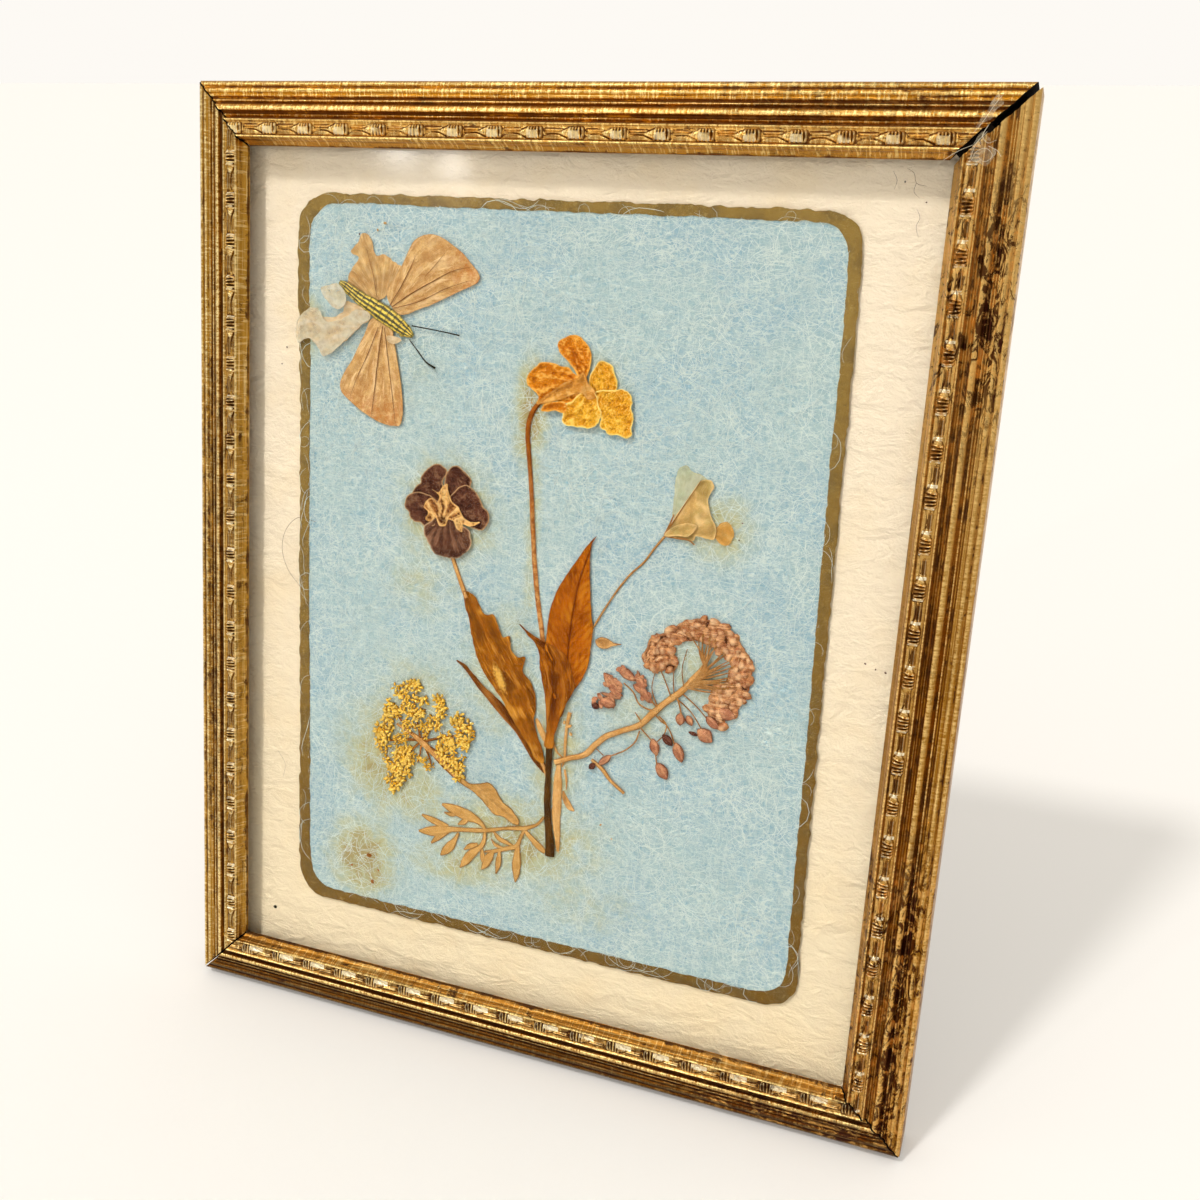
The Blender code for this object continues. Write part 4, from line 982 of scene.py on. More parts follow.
def buildPanel():
    loop = smoothLine(panelShape["outline"], 1.0, True)
    flat, triangles, border = meshLoop(loop, 0.8)
    lift = 0.05 * wobble(flat[:, 0], flat[:, 1], 2.2, 41, 3) + 0.03
    front = np.column_stack([flat, layers["panel"] - lift])
    back = flatTo(flat, layers["panel"] + 0.18)
    points, faces = closedSheet(front, back, triangles, border)
    stain = stainAt(points[:, 0], points[:, 1])
    addPiece("blue_tissue_panel", points, faces, panelPaint(),
             {"stain": np.column_stack([stain, stain, stain])}, replaces=("blue_panel",))
    print("panel made", len(points))


def borderPaint():
    paint = Paint("gold paper")
    place = paint.attribute("face")
    x, y, _ = paint.parts(place)
    fibre = paint.noise(place, 0.7, 5.0, 0.7, 0.8)
    patch = paint.noise(place, 3.2, 4.0, 0.6)
    lower = (x * 0.4 + y).ramp(50, 190)
    colour = paint.mix(lower, tone(142, 114, 52), tone(112, 80, 18))
    colour = paint.mix(patch.ramp(0.4, 0.66) * 0.6, colour, tone(104, 84, 44))
    colour = paint.mix(fibre.ramp(0.52, 0.72) * 0.6, colour, tone(176, 152, 92))
    colour = paint.mix((1 - fibre.ramp(0.3, 0.42)) * 0.6, colour, tone(72, 56, 26))
    return paint.finish(colour, 0.7, 0.1, paint.bump(fibre, 0.7, 0.0004), Specular_IOR_Level=0.2)


def buildBorder():
    across = 8
    stations = 1500
    loops = []
    for key, seed, amount in (("borderOut", 51, 0.34), ("borderIn", 57, 0.22)):
        line = smoothLine(panelShape[key], 0.4, True)
        line = np.vstack([line, line[:1]])
        length = lineLength(line)
        at = np.linspace(0, length[-1], stations, endpoint=False)
        loops.append(np.column_stack([np.interp(at, length, line[:, k]) for k in (0, 1)]))
        along = np.roll(loops[-1], -1, 0) - np.roll(loops[-1], 1, 0)
        normal = np.column_stack([along[:, 1], -along[:, 0]]) / np.linalg.norm(along, axis=1)[:, None]
        offset = amount * wobble(loops[-1][:, 0], loops[-1][:, 1], 1.5, seed, 3)
        loops[-1] = loops[-1] + normal * offset[:, None]
    fronts, backs, faces = [], [], []
    for j in range(across + 1):
        flat = loops[0] * (1 - j / across) + loops[1] * j / across
        fall = 0.05 * (1 - abs(2 * j / across - 1) ** 3)
        lift = fall + 0.035 * wobble(flat[:, 0], flat[:, 1], 1.0, 61, 2)
        fronts.append(np.column_stack([flat, layers["back"] + 0.05 - lift]))
        backs.append(flatTo(flat, layers["panel"] - 0.06))
    for j in range(across):
        for i in range(stations):
            a, b = j * stations + i, j * stations + (i + 1) % stations
            faces.append((a, b, b + stations, a + stations))
    count = (across + 1) * stations
    faces += [tuple(k + count for k in f[::-1]) for f in faces]
    for start in (0, across * stations):
        for i in range(stations):
            a, b = start + i, start + (i + 1) % stations
            faces.append((a, b, b + count, a + count))
    addPiece("gold_paper_border", np.vstack(fronts + backs), faces, borderPaint(),
             replaces=("gold_border",))
    print("border made")


def petalRelief(height, grain, rays, rim, folds=0.6):
    # crumpled folds that run out from the base, and a curled edge
    def relief(x, y, along, across, edge, seed):
        angle = np.arctan2(across, along + 1.0)
        rough = 1 - np.abs(wobble(x + 0.5 * along, y, grain, seed, 2)) * 2.4
        ridges = np.sin(angle * rays * 2 + 2.4 * wobble(x, y, 2.2, seed + 1))
        body = ((1 - folds) * rough + folds * ridges) * height * np.clip(edge / 0.4, 0.2, 1)
        curl = rim * np.exp(-((edge - 0.1) / 0.16) ** 2) * (1 + 0.7 * wobble(x, y, 0.7, seed + 2))
        return 0.04 + 0.5 * height + 0.5 * body + curl
    return relief


def leafRelief(height, gap, slant, grooves, midrib, ribs=0.3, stripe=0.22):
    # a sunken midrib, slanting side veins, fine grooves along the blade, and a slow cockle
    def relief(x, y, along, across, edge, seed):
        drift = wobble(x, y, 3.0, seed)
        side = np.sin((along - np.abs(across) * slant) / gap * 2 * math.pi + 2.0 * drift)
        stripes = 2.6 * wobble(along * 0.14 + 0.5 * drift, across * grooves, 1.1, seed + 1, 2)
        lift = height * (ribs * side + stripe * stripes + 0.8 * wobble(x, y, 2.8, seed + 2))
        lift -= midrib * np.exp(-(across / 0.14) ** 2)
        return 0.10 + lift + 0.05 * np.exp(-(edge / 0.2) ** 2)
    return relief


def flatRelief(height=0.04, grain=1.2):
    def relief(x, y, along, across, edge, seed):
        return 0.04 + height * wobble(x, y, grain, seed) + 0.03 * np.exp(-(edge / 0.15) ** 2)
    return relief


def organicPaint(name, look):
    # One paint for everything that once grew; a look names its colours and what marks it.
    paint = Paint(name)
    place = paint.attribute("face")
    along, across, edge = paint.parts(paint.attribute("grow"))
    lift = paint.parts(paint.attribute("lift"))[0]
    fine = paint.noise(place, look.get("fine", 0.4), 4.0, 0.65)
    patch = paint.noise(place, look.get("patch", 2.4), 4.0, 0.6)
    colour = paint.mix(patch.ramp(0.36, 0.62), tone(*look["base"]), tone(*look["second"]))
    kind = look.get("veins", "length")
    if kind == "rays":
        lines = paint.vector(across.apply("ARCTAN2", along + 1.2) * look.get("rayCount", 5.0),
                             along * 0.12, 0.0)
    elif kind == "crumple":
        lines = paint.vector(along * 1.1 + across * 0.3, across * 1.3, 0.0)
    elif kind == "side":
        lines = paint.vector((along - across.apply("ABSOLUTE") * 1.3) * 0.9, across * 0.5, 0.0)
    else:
        lines = paint.vector(across * look.get("lineCount", 3.0), along * 0.14, 0.0)
    vein = paint.noise(lines, 0.42, 3.0, 0.6, 0.6)
    ridge = 1 - ((vein - 0.5).apply("ABSOLUTE") * 9.0).apply("MINIMUM", 1.0)
    colour = paint.mix(vein.ramp(0.52, 0.72) * look.get("streak", 0.4), colour, tone(*look["light"]))
    colour = paint.mix(ridge * fine.ramp(0.3, 0.6) * look.get("vein", 0.5), colour, tone(*look["dark"]))
    if kind == "side":
        spine = 1 - across.apply("ABSOLUTE").ramp(0.05, 0.24)
        colour = paint.mix(spine * 0.8, colour, tone(*look["dark"]))
    # higher parts of the relief painted lighter: painted highlight
    colour = paint.mix(lift.ramp(0.55, 1.0) * look.get("high", 0.5), colour, tone(*look["light"]))
    # lower parts painted darker: painted shade in creases and between scattered florets
    colour = paint.mix((1 - lift.ramp(0.02, 0.42)) * look.get("low", 0.6), colour, tone(*look["dark"]))
    # a rim along the outline in the look's edge colour; where that colour is darker, as on the stems, buds
    # and fern, the rim is painted contact shadow
    rim = (1 - edge.ramp(look.get("rimFrom", 0.0), look.get("rimTo", 0.22))) * look.get("rim", 0.6)
    colour = paint.mix(rim * fine.ramp(0.25, 0.55, 0.45, 1.0), colour, tone(*look["edge"]))
    if "tip" in look:
        low, high = look["tipSpan"]
        spots = paint.noise(place, look.get("tipGrain", 0.9), 3.0, 0.6).ramp(0.4, 0.6, 0.2, 1.0)
        colour = paint.mix(along.ramp(low, high) * spots * look.get("tipAmount", 0.8), colour,
                           tone(*look["tip"]))
    if "patchAt" in look:
        x, y, _ = paint.parts(place)
        centreX, centreY, reach, turn, stretch = look["patchAt"]
        x, y = x - centreX, y - centreY
        far = (x * math.cos(turn) + y * math.sin(turn)) * (1 / stretch)
        side = y * math.cos(turn) - x * math.sin(turn)
        away = (far * far + side * side).apply("SQRT")
        glow = (1 - (away + (fine - 0.5) * reach * 2.0).ramp(reach * 0.3, reach)) * 0.85
        colour = paint.mix(glow, colour, tone(*look["patchColour"]))
    speck = paint.noise(place, 0.33, 2.0, 0.6).ramp(0.68, 0.74)
    colour = paint.mix(speck * look.get("specks", 0.3), colour, tone(*look["dark"]))
    normal = paint.bump(vein * 0.8 + fine * 0.5, 0.8, 0.00022)
    paint.finish(colour, look.get("rough", 0.8), 0.0, normal, Specular_IOR_Level=0.04)
    if "alpha" in look:
        worn = paint.noise(place, 1.6, 4.0, 0.65).ramp(0.3, 0.7, look["alpha"] - 0.18, look["alpha"] + 0.14)
        paint.feed(paint.shader.inputs["Alpha"], worn)
    return paint.material


def look(base, second, dark, light, edge, **marks):
    return dict(base=base, second=second, dark=dark, light=light, edge=edge, **marks)


looks = {
    "violaOrange": look((216, 130, 20), (200, 108, 10), (126, 56, 4), (250, 196, 92), (248, 190, 88),
        veins="crumple", vein=0.62, rim=0.5, low=0.62, high=0.6, fine=0.3),
    "violaYellow": look((234, 174, 46), (220, 148, 28), (146, 84, 10), (255, 222, 116), (255, 234, 146),
        veins="crumple", vein=0.55, rim=0.85, low=0.62, high=0.6, fine=0.3),
    "violaThroat": look((224, 158, 68), (206, 132, 44), (134, 72, 16), (242, 196, 116), (176, 106, 34),
        vein=0.6, alpha=0.94),
    "pansyDark": look((68, 35, 25), (96, 56, 40), (34, 14, 10), (166, 122, 88), (206, 164, 112),
        veins="crumple", streak=0.35, high=0.38, rim=0.9, rimTo=0.26),
    "pansyLower": look((128, 88, 64), (98, 60, 42), (44, 20, 12), (170, 132, 100), (214, 180, 138),
        veins="rays", rayCount=7.0, high=0.4, rim=0.85, rimTo=0.3, tip=(46, 20, 14), tipSpan=(5.4, 7.0),
        tipAmount=0.75),
    "pansyThroat": look((226, 172, 96), (176, 112, 56), (92, 46, 20), (255, 220, 148), (222, 168, 88),
        veins="rays", vein=0.8, rim=0.4, low=0.95, fine=0.3, patchAt=(49.7, 71.9, 0.9, 0.0, 1.0),
        patchColour=(62, 26, 10)),
    "paleBack": look((196, 204, 172), (212, 212, 180), (160, 160, 112), (226, 222, 190), (210, 200, 150),
        veins="rays", vein=0.35, low=0.25, high=0.3, rim=0.35, alpha=0.66, specks=0.05),
    "paleFront": look((214, 172, 104), (178, 154, 90), (146, 108, 50), (238, 204, 146), (238, 200, 136),
        veins="rays", rayCount=3.4, patch=3.4, vein=0.3, low=0.4, rim=0.7, alpha=0.94, specks=0.1),
    "paleSide": look((214, 158, 74), (190, 146, 76), (156, 100, 36), (230, 184, 110), (196, 150, 84),
        veins="rays", vein=0.3, low=0.3, rim=0.3, alpha=0.86),
    "wing": look((212, 172, 112), (190, 144, 86), (138, 90, 44), (238, 208, 160), (176, 122, 70),
        veins="rays", rayCount=9.0, streak=0.6, vein=0.35, low=0.3, high=0.3, rim=0.4, patch=1.6,
        tip=(180, 112, 52), tipSpan=(10.5, 17.5), tipAmount=0.75, tipGrain=0.8),
    "wingTorn": look((214, 174, 112), (194, 150, 92), (148, 102, 56), (240, 210, 158), (214, 178, 138),
        veins="rays", rayCount=8.0, streak=0.6, vein=0.35, low=0.2, high=0.3, rim=0.3, alpha=0.88),
    "wingPale": look((230, 206, 164), (212, 180, 132), (180, 140, 94), (246, 230, 198), (220, 190, 144),
        veins="rays", streak=0.6, vein=0.25, low=0.15, high=0.3, rim=0.3, alpha=0.8, specks=0.1),
    "film": look((220, 212, 184), (226, 204, 164), (196, 178, 140), (244, 238, 218), (226, 220, 206),
        veins="rays", vein=0.2, low=0.1, rim=0.3, alpha=0.5, specks=0.05),
    "leafCentre": look((178, 94, 4), (150, 74, 2), (96, 38, 2), (208, 136, 30), (112, 52, 6), veins="side",
        vein=0.65, streak=0.6, high=0.45, rimTo=0.3, patch=4.0),
    "leafFolded": look((164, 90, 8), (126, 62, 4), (74, 30, 2), (202, 132, 40), (104, 48, 8), lineCount=2.2,
        vein=0.8, streak=0.6, low=0.7),
    "leafLeft": look((166, 96, 8), (146, 80, 6), (78, 36, 2), (216, 154, 58), (150, 92, 26), lineCount=1.7,
        vein=0.9, streak=0.75, rim=0.5, patch=3.0, patchAt=(61.8, 99.0, 1.0, 1.15, 3.4),
        patchColour=(226, 176, 78)),
    "leafThin": look((134, 72, 12), (98, 48, 6), (60, 26, 3), (196, 130, 58), (110, 56, 10), vein=0.6,
        low=0.5, rim=0.4),
    "violaBend": look((168, 92, 24), (136, 68, 12), (96, 44, 6), (204, 136, 60), (104, 52, 10),
        lineCount=5.0, vein=0.4, rim=0.7, rimTo=0.2, tip=(206, 148, 84), tipSpan=(7, 30), tipAmount=1.0),
    "tanStem": look((220, 170, 104), (202, 146, 78), (134, 84, 34), (240, 198, 136), (118, 70, 26),
        lineCount=4.0, vein=0.55, rim=0.8),
    "darkStem": look((92, 58, 16), (70, 42, 10), (44, 24, 6), (150, 104, 44), (54, 30, 8), streak=0.35,
        rim=0.5),
    "straw": look((224, 176, 110), (206, 152, 84), (140, 92, 42), (240, 200, 142), (166, 114, 56),
        vein=0.4),
    "fern": look((208, 162, 94), (192, 144, 76), (134, 88, 40), (232, 192, 130), (116, 72, 26),
        lineCount=2.0, vein=0.3, streak=0.5, low=0.5, rim=0.85, rimTo=0.28, specks=0.1),
    "floret": look((232, 184, 62), (204, 150, 38), (112, 66, 10), (252, 226, 124), (232, 184, 62),
        patch=1.4, vein=0.2, rim=0.0, low=0.85),
    "rayStem": look((170, 108, 44), (140, 82, 28), (88, 46, 12), (206, 150, 80), (96, 52, 14), vein=0.4,
        rim=0.5),
    "raceme": look((212, 152, 98), (158, 94, 56), (66, 28, 14), (246, 208, 160), (110, 56, 34), patch=0.9,
        vein=0.6, low=0.95, high=0.6, rimTo=0.14),
    "racemeBud": look((204, 146, 104), (176, 112, 80), (80, 38, 26), (238, 192, 146), (86, 42, 26),
        lineCount=2.0, patch=1.2, vein=0.6, rim=0.9, rimTo=0.3, low=0.5),
    "darkBit": look((110, 62, 44), (84, 44, 34), (46, 20, 14), (176, 122, 92), (60, 28, 18)),
    "antenna": look((38, 34, 22), (54, 46, 26), (18, 14, 10), (84, 76, 44), (26, 22, 14), vein=0.3),
    "wingVein": look((150, 100, 56), (128, 82, 44), (96, 56, 28), (178, 130, 84), (120, 76, 40), vein=0.3),
    "hair": look((150, 122, 80), (124, 96, 60), (84, 60, 34), (184, 160, 120), (130, 100, 62), vein=0.1),
    "cobweb": look((222, 206, 172), (206, 184, 144), (160, 140, 110), (246, 240, 222), (226, 214, 188),
        vein=0.1, alpha=0.2),
    "thread": look((232, 220, 192), (214, 196, 160), (190, 170, 134), (250, 248, 240), (236, 228, 208),
        vein=0.1),
}
paints = {}


def painted(look):
    if look not in paints:
        paints[look] = organicPaint(look, looks[look])
    return paints[look]


def addGrown(name, parts, look):
    # parts are (points, faces, grow) lists whose grow has a fourth column for the lift
    points, faces, grow = joined(parts)
    lift = np.repeat(grow[:, 3:4], 3, axis=1)
    node = name.replace("pressed_", "")
    return addPiece(name, points, faces, painted(look), {"grow": grow[:, :3], "lift": lift},
                    replaces=(node,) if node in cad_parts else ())


def budPart(row, depth, seed, flatten=0.42):
    # a small closed bud or seed from its foot to its tip
    start, end, width = np.array(row[:2]), np.array(row[2:4]), row[4]
    shape = ((0, 0.12), (0.14, 0.6), (0.34, 0.95), (0.55, 1.0), (0.78, 0.72), (0.93, 0.34), (1, 0.08))
    points = [(*(start + (end - start) * t), width * w) for t, w in shape]
    return stem(points, depth, flatten, 10, seed, step=0.22)


def sheet(look, slot, relief, spacing, ragged, layer, spine, *outline):
    return look, slot, relief, spacing, ragged, layers[layer], pairs(*spine), pairs(*outline)


# each petal, leaf and wing: look, slot, relief, mesh spacing, raggedness, layer, the line it grows
# along, and its outline
sheets = {
    "moth_forewing": sheet("wing", "moth_wing", petalRelief(0.10, 2.2, 12, 0.03), 0.30, 0.04, "middle",
        (384, 366, 460, 310, 544, 296), 372, 342, 384, 318, 398, 296, 406, 280, 424, 249, 440, 241, 458,
        239, 475, 244, 495, 255, 513, 267, 530, 283, 544, 298, 547, 306, 543, 313, 505, 332, 480, 344, 455,
        356, 430, 365, 412, 373, 396, 374, 382, 362),
    "moth_lower_wing": sheet("wing", "moth_wing", petalRelief(0.10, 2.2, 12, 0.03), 0.30, 0.05, "middle",
        (366, 382, 362, 470, 356, 564), 379, 389, 390, 425, 398, 460, 405, 495, 409, 530, 409, 548, 403,
        564, 394, 565, 375, 564, 350, 556, 320, 540, 300, 526, 285, 512, 283, 502, 290, 482, 305, 460, 316,
        438, 330, 412, 344, 384, 356, 380),
    "moth_torn_wing": sheet("wingTorn", "moth_wing", petalRelief(0.12, 1.6, 12, 0.03), 0.28, 0.28, "back",
        (356, 354, 346, 300, 330, 244), 366, 348, 384, 316, 398, 294, 382, 286, 365, 276, 350, 278, 343,
        270, 340, 256, 330, 244, 320, 243, 314, 256, 300, 274, 315, 284, 308, 296, 298, 310, 294, 329, 310,
        336, 335, 352),
    "moth_pale_wing": sheet("wingPale", "moth_wing", petalRelief(0.14, 1.6, 9, 0.04), 0.30, 0.22, "middle",
        (340, 376, 280, 396, 206, 406), 336, 370, 312, 362, 294, 358, 286, 376, 266, 386, 240, 384, 230,
        372, 216, 378, 206, 396, 218, 420, 234, 436, 251, 450, 276, 436, 296, 424, 310, 409, 326, 396, 339,
        386),
    "moth_grey_scrap": sheet("film", "moth_wing", petalRelief(0.10, 1.2, 6, 0.03), 0.28, 0.12, "over", (244,
        346, 292, 356), 244, 337, 254, 334, 276, 329, 294, 348, 292, 364, 286, 370, 271, 371, 260, 362, 250,
        353),
    "moth_film": sheet("film", "moth_wing", petalRelief(0.10, 1.5, 9, 0.02), 0.34, 0.30, "over", (330, 400,
        200, 410), 343, 380, 314, 370, 292, 386, 256, 394, 236, 371, 200, 390, 200, 435, 222, 424, 236, 438,
        251, 454, 284, 433, 306, 414, 324, 398),
    "moth_strip": sheet("wingPale", "moth_wing", flatRelief(), 0.25, 0.05, "over", (376, 418, 405, 420),
        376, 413, 390, 411, 405, 417, 396, 423, 380, 422),
    "viola_top_petal": sheet("violaOrange", "viola_petal", petalRelief(0.34, 0.55, 11, 0.14, 0.2), 0.2,
        0.12, "back", (746, 460, 734, 420, 714, 388), 693, 403, 696, 398, 706, 393, 714, 388, 728, 388, 740,
        396, 750, 408, 754, 420, 753, 433, 751, 444, 744, 456, 736, 456, 726, 443, 712, 429, 697, 416),
    "viola_left_petal": sheet("violaOrange", "viola_petal", petalRelief(0.34, 0.55, 13, 0.14, 0.3), 0.2,
        0.14, "middle", (750, 470, 695, 460, 642, 466), 642, 464, 645, 456, 655, 445, 666, 436, 676, 434,
        690, 435, 702, 439, 713, 439, 725, 448, 739, 456, 746, 464, 750, 476, 732, 490, 710, 500, 693, 495,
        675, 502, 663, 504, 664, 490, 653, 481, 644, 473),
    "viola_upper_right_petal": sheet("violaYellow", "viola_petal", petalRelief(0.34, 0.5, 9, 0.18, 0.15),
        0.2, 0.16, "back", (754, 474, 774, 452, 788, 430), 755, 448, 762, 434, 769, 426, 780, 427, 791, 432,
        795, 442, 801, 456, 801, 469, 793, 477, 774, 482, 760, 478, 753, 464),
    "viola_lower_right_petal": sheet("violaYellow", "viola_petal", petalRelief(0.38, 0.45, 9, 0.2, 0.15),
        0.2, 0.24, "middle", (766, 480, 800, 506, 832, 540), 766, 476, 776, 472, 794, 472, 810, 469, 823,
        472, 829, 479, 829, 490, 832, 504, 835, 516, 832, 528, 832, 542, 826, 546, 808, 542, 792, 542, 787,
        536, 779, 532, 778, 520, 772, 500),
    "viola_bottom_petal": sheet("violaYellow", "viola_petal", petalRelief(0.34, 0.5, 9, 0.18, 0.2), 0.2,
        0.22, "front", (754, 476, 744, 506, 736, 536), 712, 504, 726, 494, 740, 480, 746, 476, 758, 473,
        770, 484, 773, 498, 779, 510, 776, 522, 770, 530, 762, 536, 746, 535, 724, 535, 712, 530, 710, 518),
    "viola_throat": sheet("violaThroat", "viola_petal", petalRelief(0.16, 1.0, 8, 0.06), 0.22, 0.08, "over",
        (666, 502, 710, 480, 756, 464), 664, 503, 676, 490, 694, 478, 708, 466, 724, 459, 736, 454, 742,
        446, 748, 452, 752, 462, 764, 472, 768, 484, 754, 489, 742, 480, 726, 484, 712, 491, 694, 497, 678,
        503),
    "viola_spur": sheet("violaOrange", "viola_petal", petalRelief(0.16, 0.8, 5, 0.10), 0.2, 0.06, "over",
        (670, 510, 714, 506), 672, 514, 676, 505, 690, 499, 706, 497, 718, 502, 714, 514, 696, 512, 684,
        515),
    "pansy_upper_left_petal": sheet("pansyDark", "pansy_petal", petalRelief(0.30, 0.6, 7, 0.14, 0.3), 0.24,
        0.16, "back", (500, 700, 480, 660, 464, 630), 450, 650, 462, 633, 477, 623, 484, 623, 499, 632, 493,
        652, 494, 670, 484, 690, 454, 686, 434, 680, 438, 668, 449, 658),
    "pansy_upper_right_petal": sheet("pansyDark", "pansy_petal", petalRelief(0.30, 0.6, 7, 0.14, 0.3), 0.24,
        0.16, "back", (504, 700, 518, 660, 526, 624), 502, 633, 517, 622, 536, 633, 547, 645, 545, 659, 538,
        674, 520, 690, 502, 692, 497, 670, 496, 652),
    "pansy_left_petal": sheet("pansyDark", "pansy_petal", petalRelief(0.30, 0.6, 6, 0.14, 0.3), 0.24, 0.16,
        "middle", (500, 706, 460, 706, 420, 700), 428, 682, 446, 676, 468, 679, 484, 688, 498, 702, 492,
        718, 478, 732, 462, 736, 453, 730, 438, 728, 431, 722, 428, 713, 420, 706, 421, 693),
    "pansy_right_petal": sheet("pansyDark", "pansy_petal", petalRelief(0.30, 0.6, 6, 0.14, 0.3), 0.24, 0.16,
        "middle", (506, 702, 546, 694, 584, 710), 516, 668, 526, 658, 538, 654, 550, 658, 565, 675, 572,
        688, 581, 694, 584, 712, 578, 723, 568, 730, 556, 728, 538, 719, 516, 712, 503, 700, 506, 682),
    "pansy_bottom_petal": sheet("pansyLower", "pansy_petal", petalRelief(0.18, 0.9, 12, 0.14), 0.24, 0.18,
        "front", (504, 706, 508, 746, 510, 786), 460, 736, 474, 724, 488, 710, 502, 708, 518, 714, 536, 726,
        550, 734, 551, 744, 554, 756, 546, 769, 534, 780, 518, 786, 500, 785, 482, 780, 472, 767, 464, 754,
        460, 748),
    "pansy_throat": sheet("pansyThroat", "pansy_petal", petalRelief(0.22, 0.6, 6, 0.08), 0.18, 0.2, "over",
        (497, 714, 498, 664), 494, 663, 503, 656, 507, 672, 514, 684, 526, 692, 536, 708, 548, 716, 568,
        715, 552, 725, 536, 723, 535, 736, 526, 731, 517, 717, 508, 719, 502, 730, 492, 730, 483, 716, 474,
        725, 464, 722, 468, 707, 459, 701, 464, 689, 478, 684, 485, 691, 489, 680, 474, 667, 487, 671),
    "pale_back_petal": sheet("paleBack", "pale_petal", petalRelief(0.10, 1.6, 6, 0.05), 0.26, 0.14, "back",
        (916, 672, 930, 626, 940, 582), 914, 668, 912, 630, 913, 602, 919, 584, 930, 581, 937, 588, 954,
        593, 964, 600, 952, 620, 938, 646, 924, 670),
    "pale_front_petal": sheet("paleFront", "pale_petal", petalRelief(0.18, 2.0, 5, 0.08), 0.24, 0.08,
        "middle", (901, 700, 944, 664, 976, 610), 902, 699, 910, 680, 920, 660, 932, 641, 946, 616, 958,
        601, 974, 602, 978, 609, 973, 622, 970, 632, 974, 648, 979, 662, 987, 674, 987, 688, 985, 695, 954,
        694, 952, 700, 925, 702),
    "pale_side_petal": sheet("paleSide", "pale_petal", petalRelief(0.10, 1.0, 5, 0.05), 0.24, 0.16, "back",
        (982, 686, 1000, 684, 1018, 682), 989, 674, 994, 668, 1003, 664, 1010, 667, 1014, 676, 1017, 684,
        1014, 693, 1008, 702, 999, 702, 989, 696, 982, 690),
    "pale_cup": sheet("paleFront", "pale_petal", petalRelief(0.14, 1.0, 5, 0.08), 0.22, 0.08, "over", (901,
        699, 950, 682), 902, 698, 914, 684, 930, 676, 946, 673, 956, 676, 950, 688, 944, 694, 924, 696),
    "umbel_bract": sheet("fern", "dry_stem", leafRelief(0.06, 1.4, 1.2, 2.0, 0.04), 0.28, 0.10, "back",
        (538, 1187, 604, 1216, 670, 1256), 538, 1184, 552, 1189, 566, 1197, 586, 1195, 606, 1189, 618, 1196,
        628, 1209, 636, 1220, 650, 1228, 660, 1238, 670, 1250, 668, 1258, 654, 1256, 636, 1248, 620, 1248,
        612, 1242, 596, 1226, 578, 1214, 558, 1204, 540, 1194),
    "raceme_head": sheet("raceme", "raceme_bud", petalRelief(0.22, 1.1, 9, 0.06), 0.28, 0.3, "back", (890,
        916, 910, 880, 950, 852, 990, 848, 1030, 874, 1050, 916, 1034, 960, 1020, 1006), 878, 912, 886, 892,
        890, 876, 906, 866, 918, 860, 934, 848, 946, 838, 962, 832, 986, 829, 1006, 832, 1024, 842, 1042,
        856, 1056, 874, 1066, 894, 1066, 924, 1064, 950, 1052, 968, 1050, 986, 1032, 992, 1030, 1010, 1012,
        1010, 1000, 988, 1002, 960, 1012, 938, 1032, 926, 1036, 910, 1026, 892, 1008, 880, 984, 872, 962,
        868, 942, 878, 930, 884, 928, 898, 942, 916, 934, 928, 916, 924, 894, 932, 882, 920),
    "raceme_seed": sheet("tanStem", "dry_stem", petalRelief(0.16, 0.7, 3, 0.12), 0.18, 0.08, "back", (794,
        898, 814, 896, 840, 894), 792, 894, 802, 887, 814, 888, 826, 893, 840, 894, 826, 899, 812, 906, 798,
        904),
    "leaf_centre": sheet("leafCentre", "dry_leaf", leafRelief(0.10, 1.9, 1.5, 2.2, 0.12), 0.28, 0.10,
        "middle", (728, 1045, 736, 1000, 743, 950, 745, 900, 749, 850, 756, 800, 770, 750, 784, 713), 784,
        713, 777, 726, 774, 745, 775, 775, 778, 805, 782, 840, 787, 875, 785, 915, 783, 940, 774, 965, 760,
        988, 748, 1010, 736, 1044, 720, 1046, 714, 1010, 706, 960, 702, 920, 703, 894, 706, 856, 714, 826,
        730, 792, 750, 760, 766, 734),
    "leaf_folded": sheet("leafFolded", "dark_leaf", leafRelief(0.14, 2.6, 0.8, 1.2, 0.06, 0.1, 0.7), 0.26,
        0.12, "front", (720, 1100, 724, 1050, 726, 990, 705, 930, 652, 886), 652, 886, 666, 894, 684, 904,
        700, 910, 714, 914, 736, 924, 748, 940, 756, 962, 761, 984, 750, 1010, 739, 1040, 730, 1075, 726,
        1100, 714, 1100, 714, 1070, 711, 1030, 703, 990, 694, 955, 689, 926, 680, 912, 666, 900),
    "leaf_left": sheet("leafLeft", "dry_leaf", leafRelief(0.16, 3.0, 0.3, 1.1, 0.0, 0.1, 0.45), 0.26, 0.16,
        "middle", (710, 1130, 666, 1050, 620, 980, 576, 910, 541, 842), 541, 842, 558, 844, 572, 862, 586,
        878, 600, 876, 612, 896, 622, 914, 632, 910, 639, 934, 652, 946, 664, 944, 662, 972, 676, 984, 686,
        1004, 690, 1026, 688, 1056, 696, 1084, 706, 1106, 710, 1132, 698, 1128, 682, 1104, 660, 1078, 642,
        1052, 624, 1026, 604, 1004, 584, 980, 572, 956, 562, 924, 554, 894, 544, 864),
    "leaf_thin": sheet("leafThin", "dark_leaf", leafRelief(0.10, 3.0, 0.3, 1.6, 0.02, 0.0, 0.8), 0.26, 0.08,
        "back", (715, 1146, 660, 1086, 600, 1026, 532, 970), 532, 970, 546, 974, 564, 988, 584, 1006, 610,
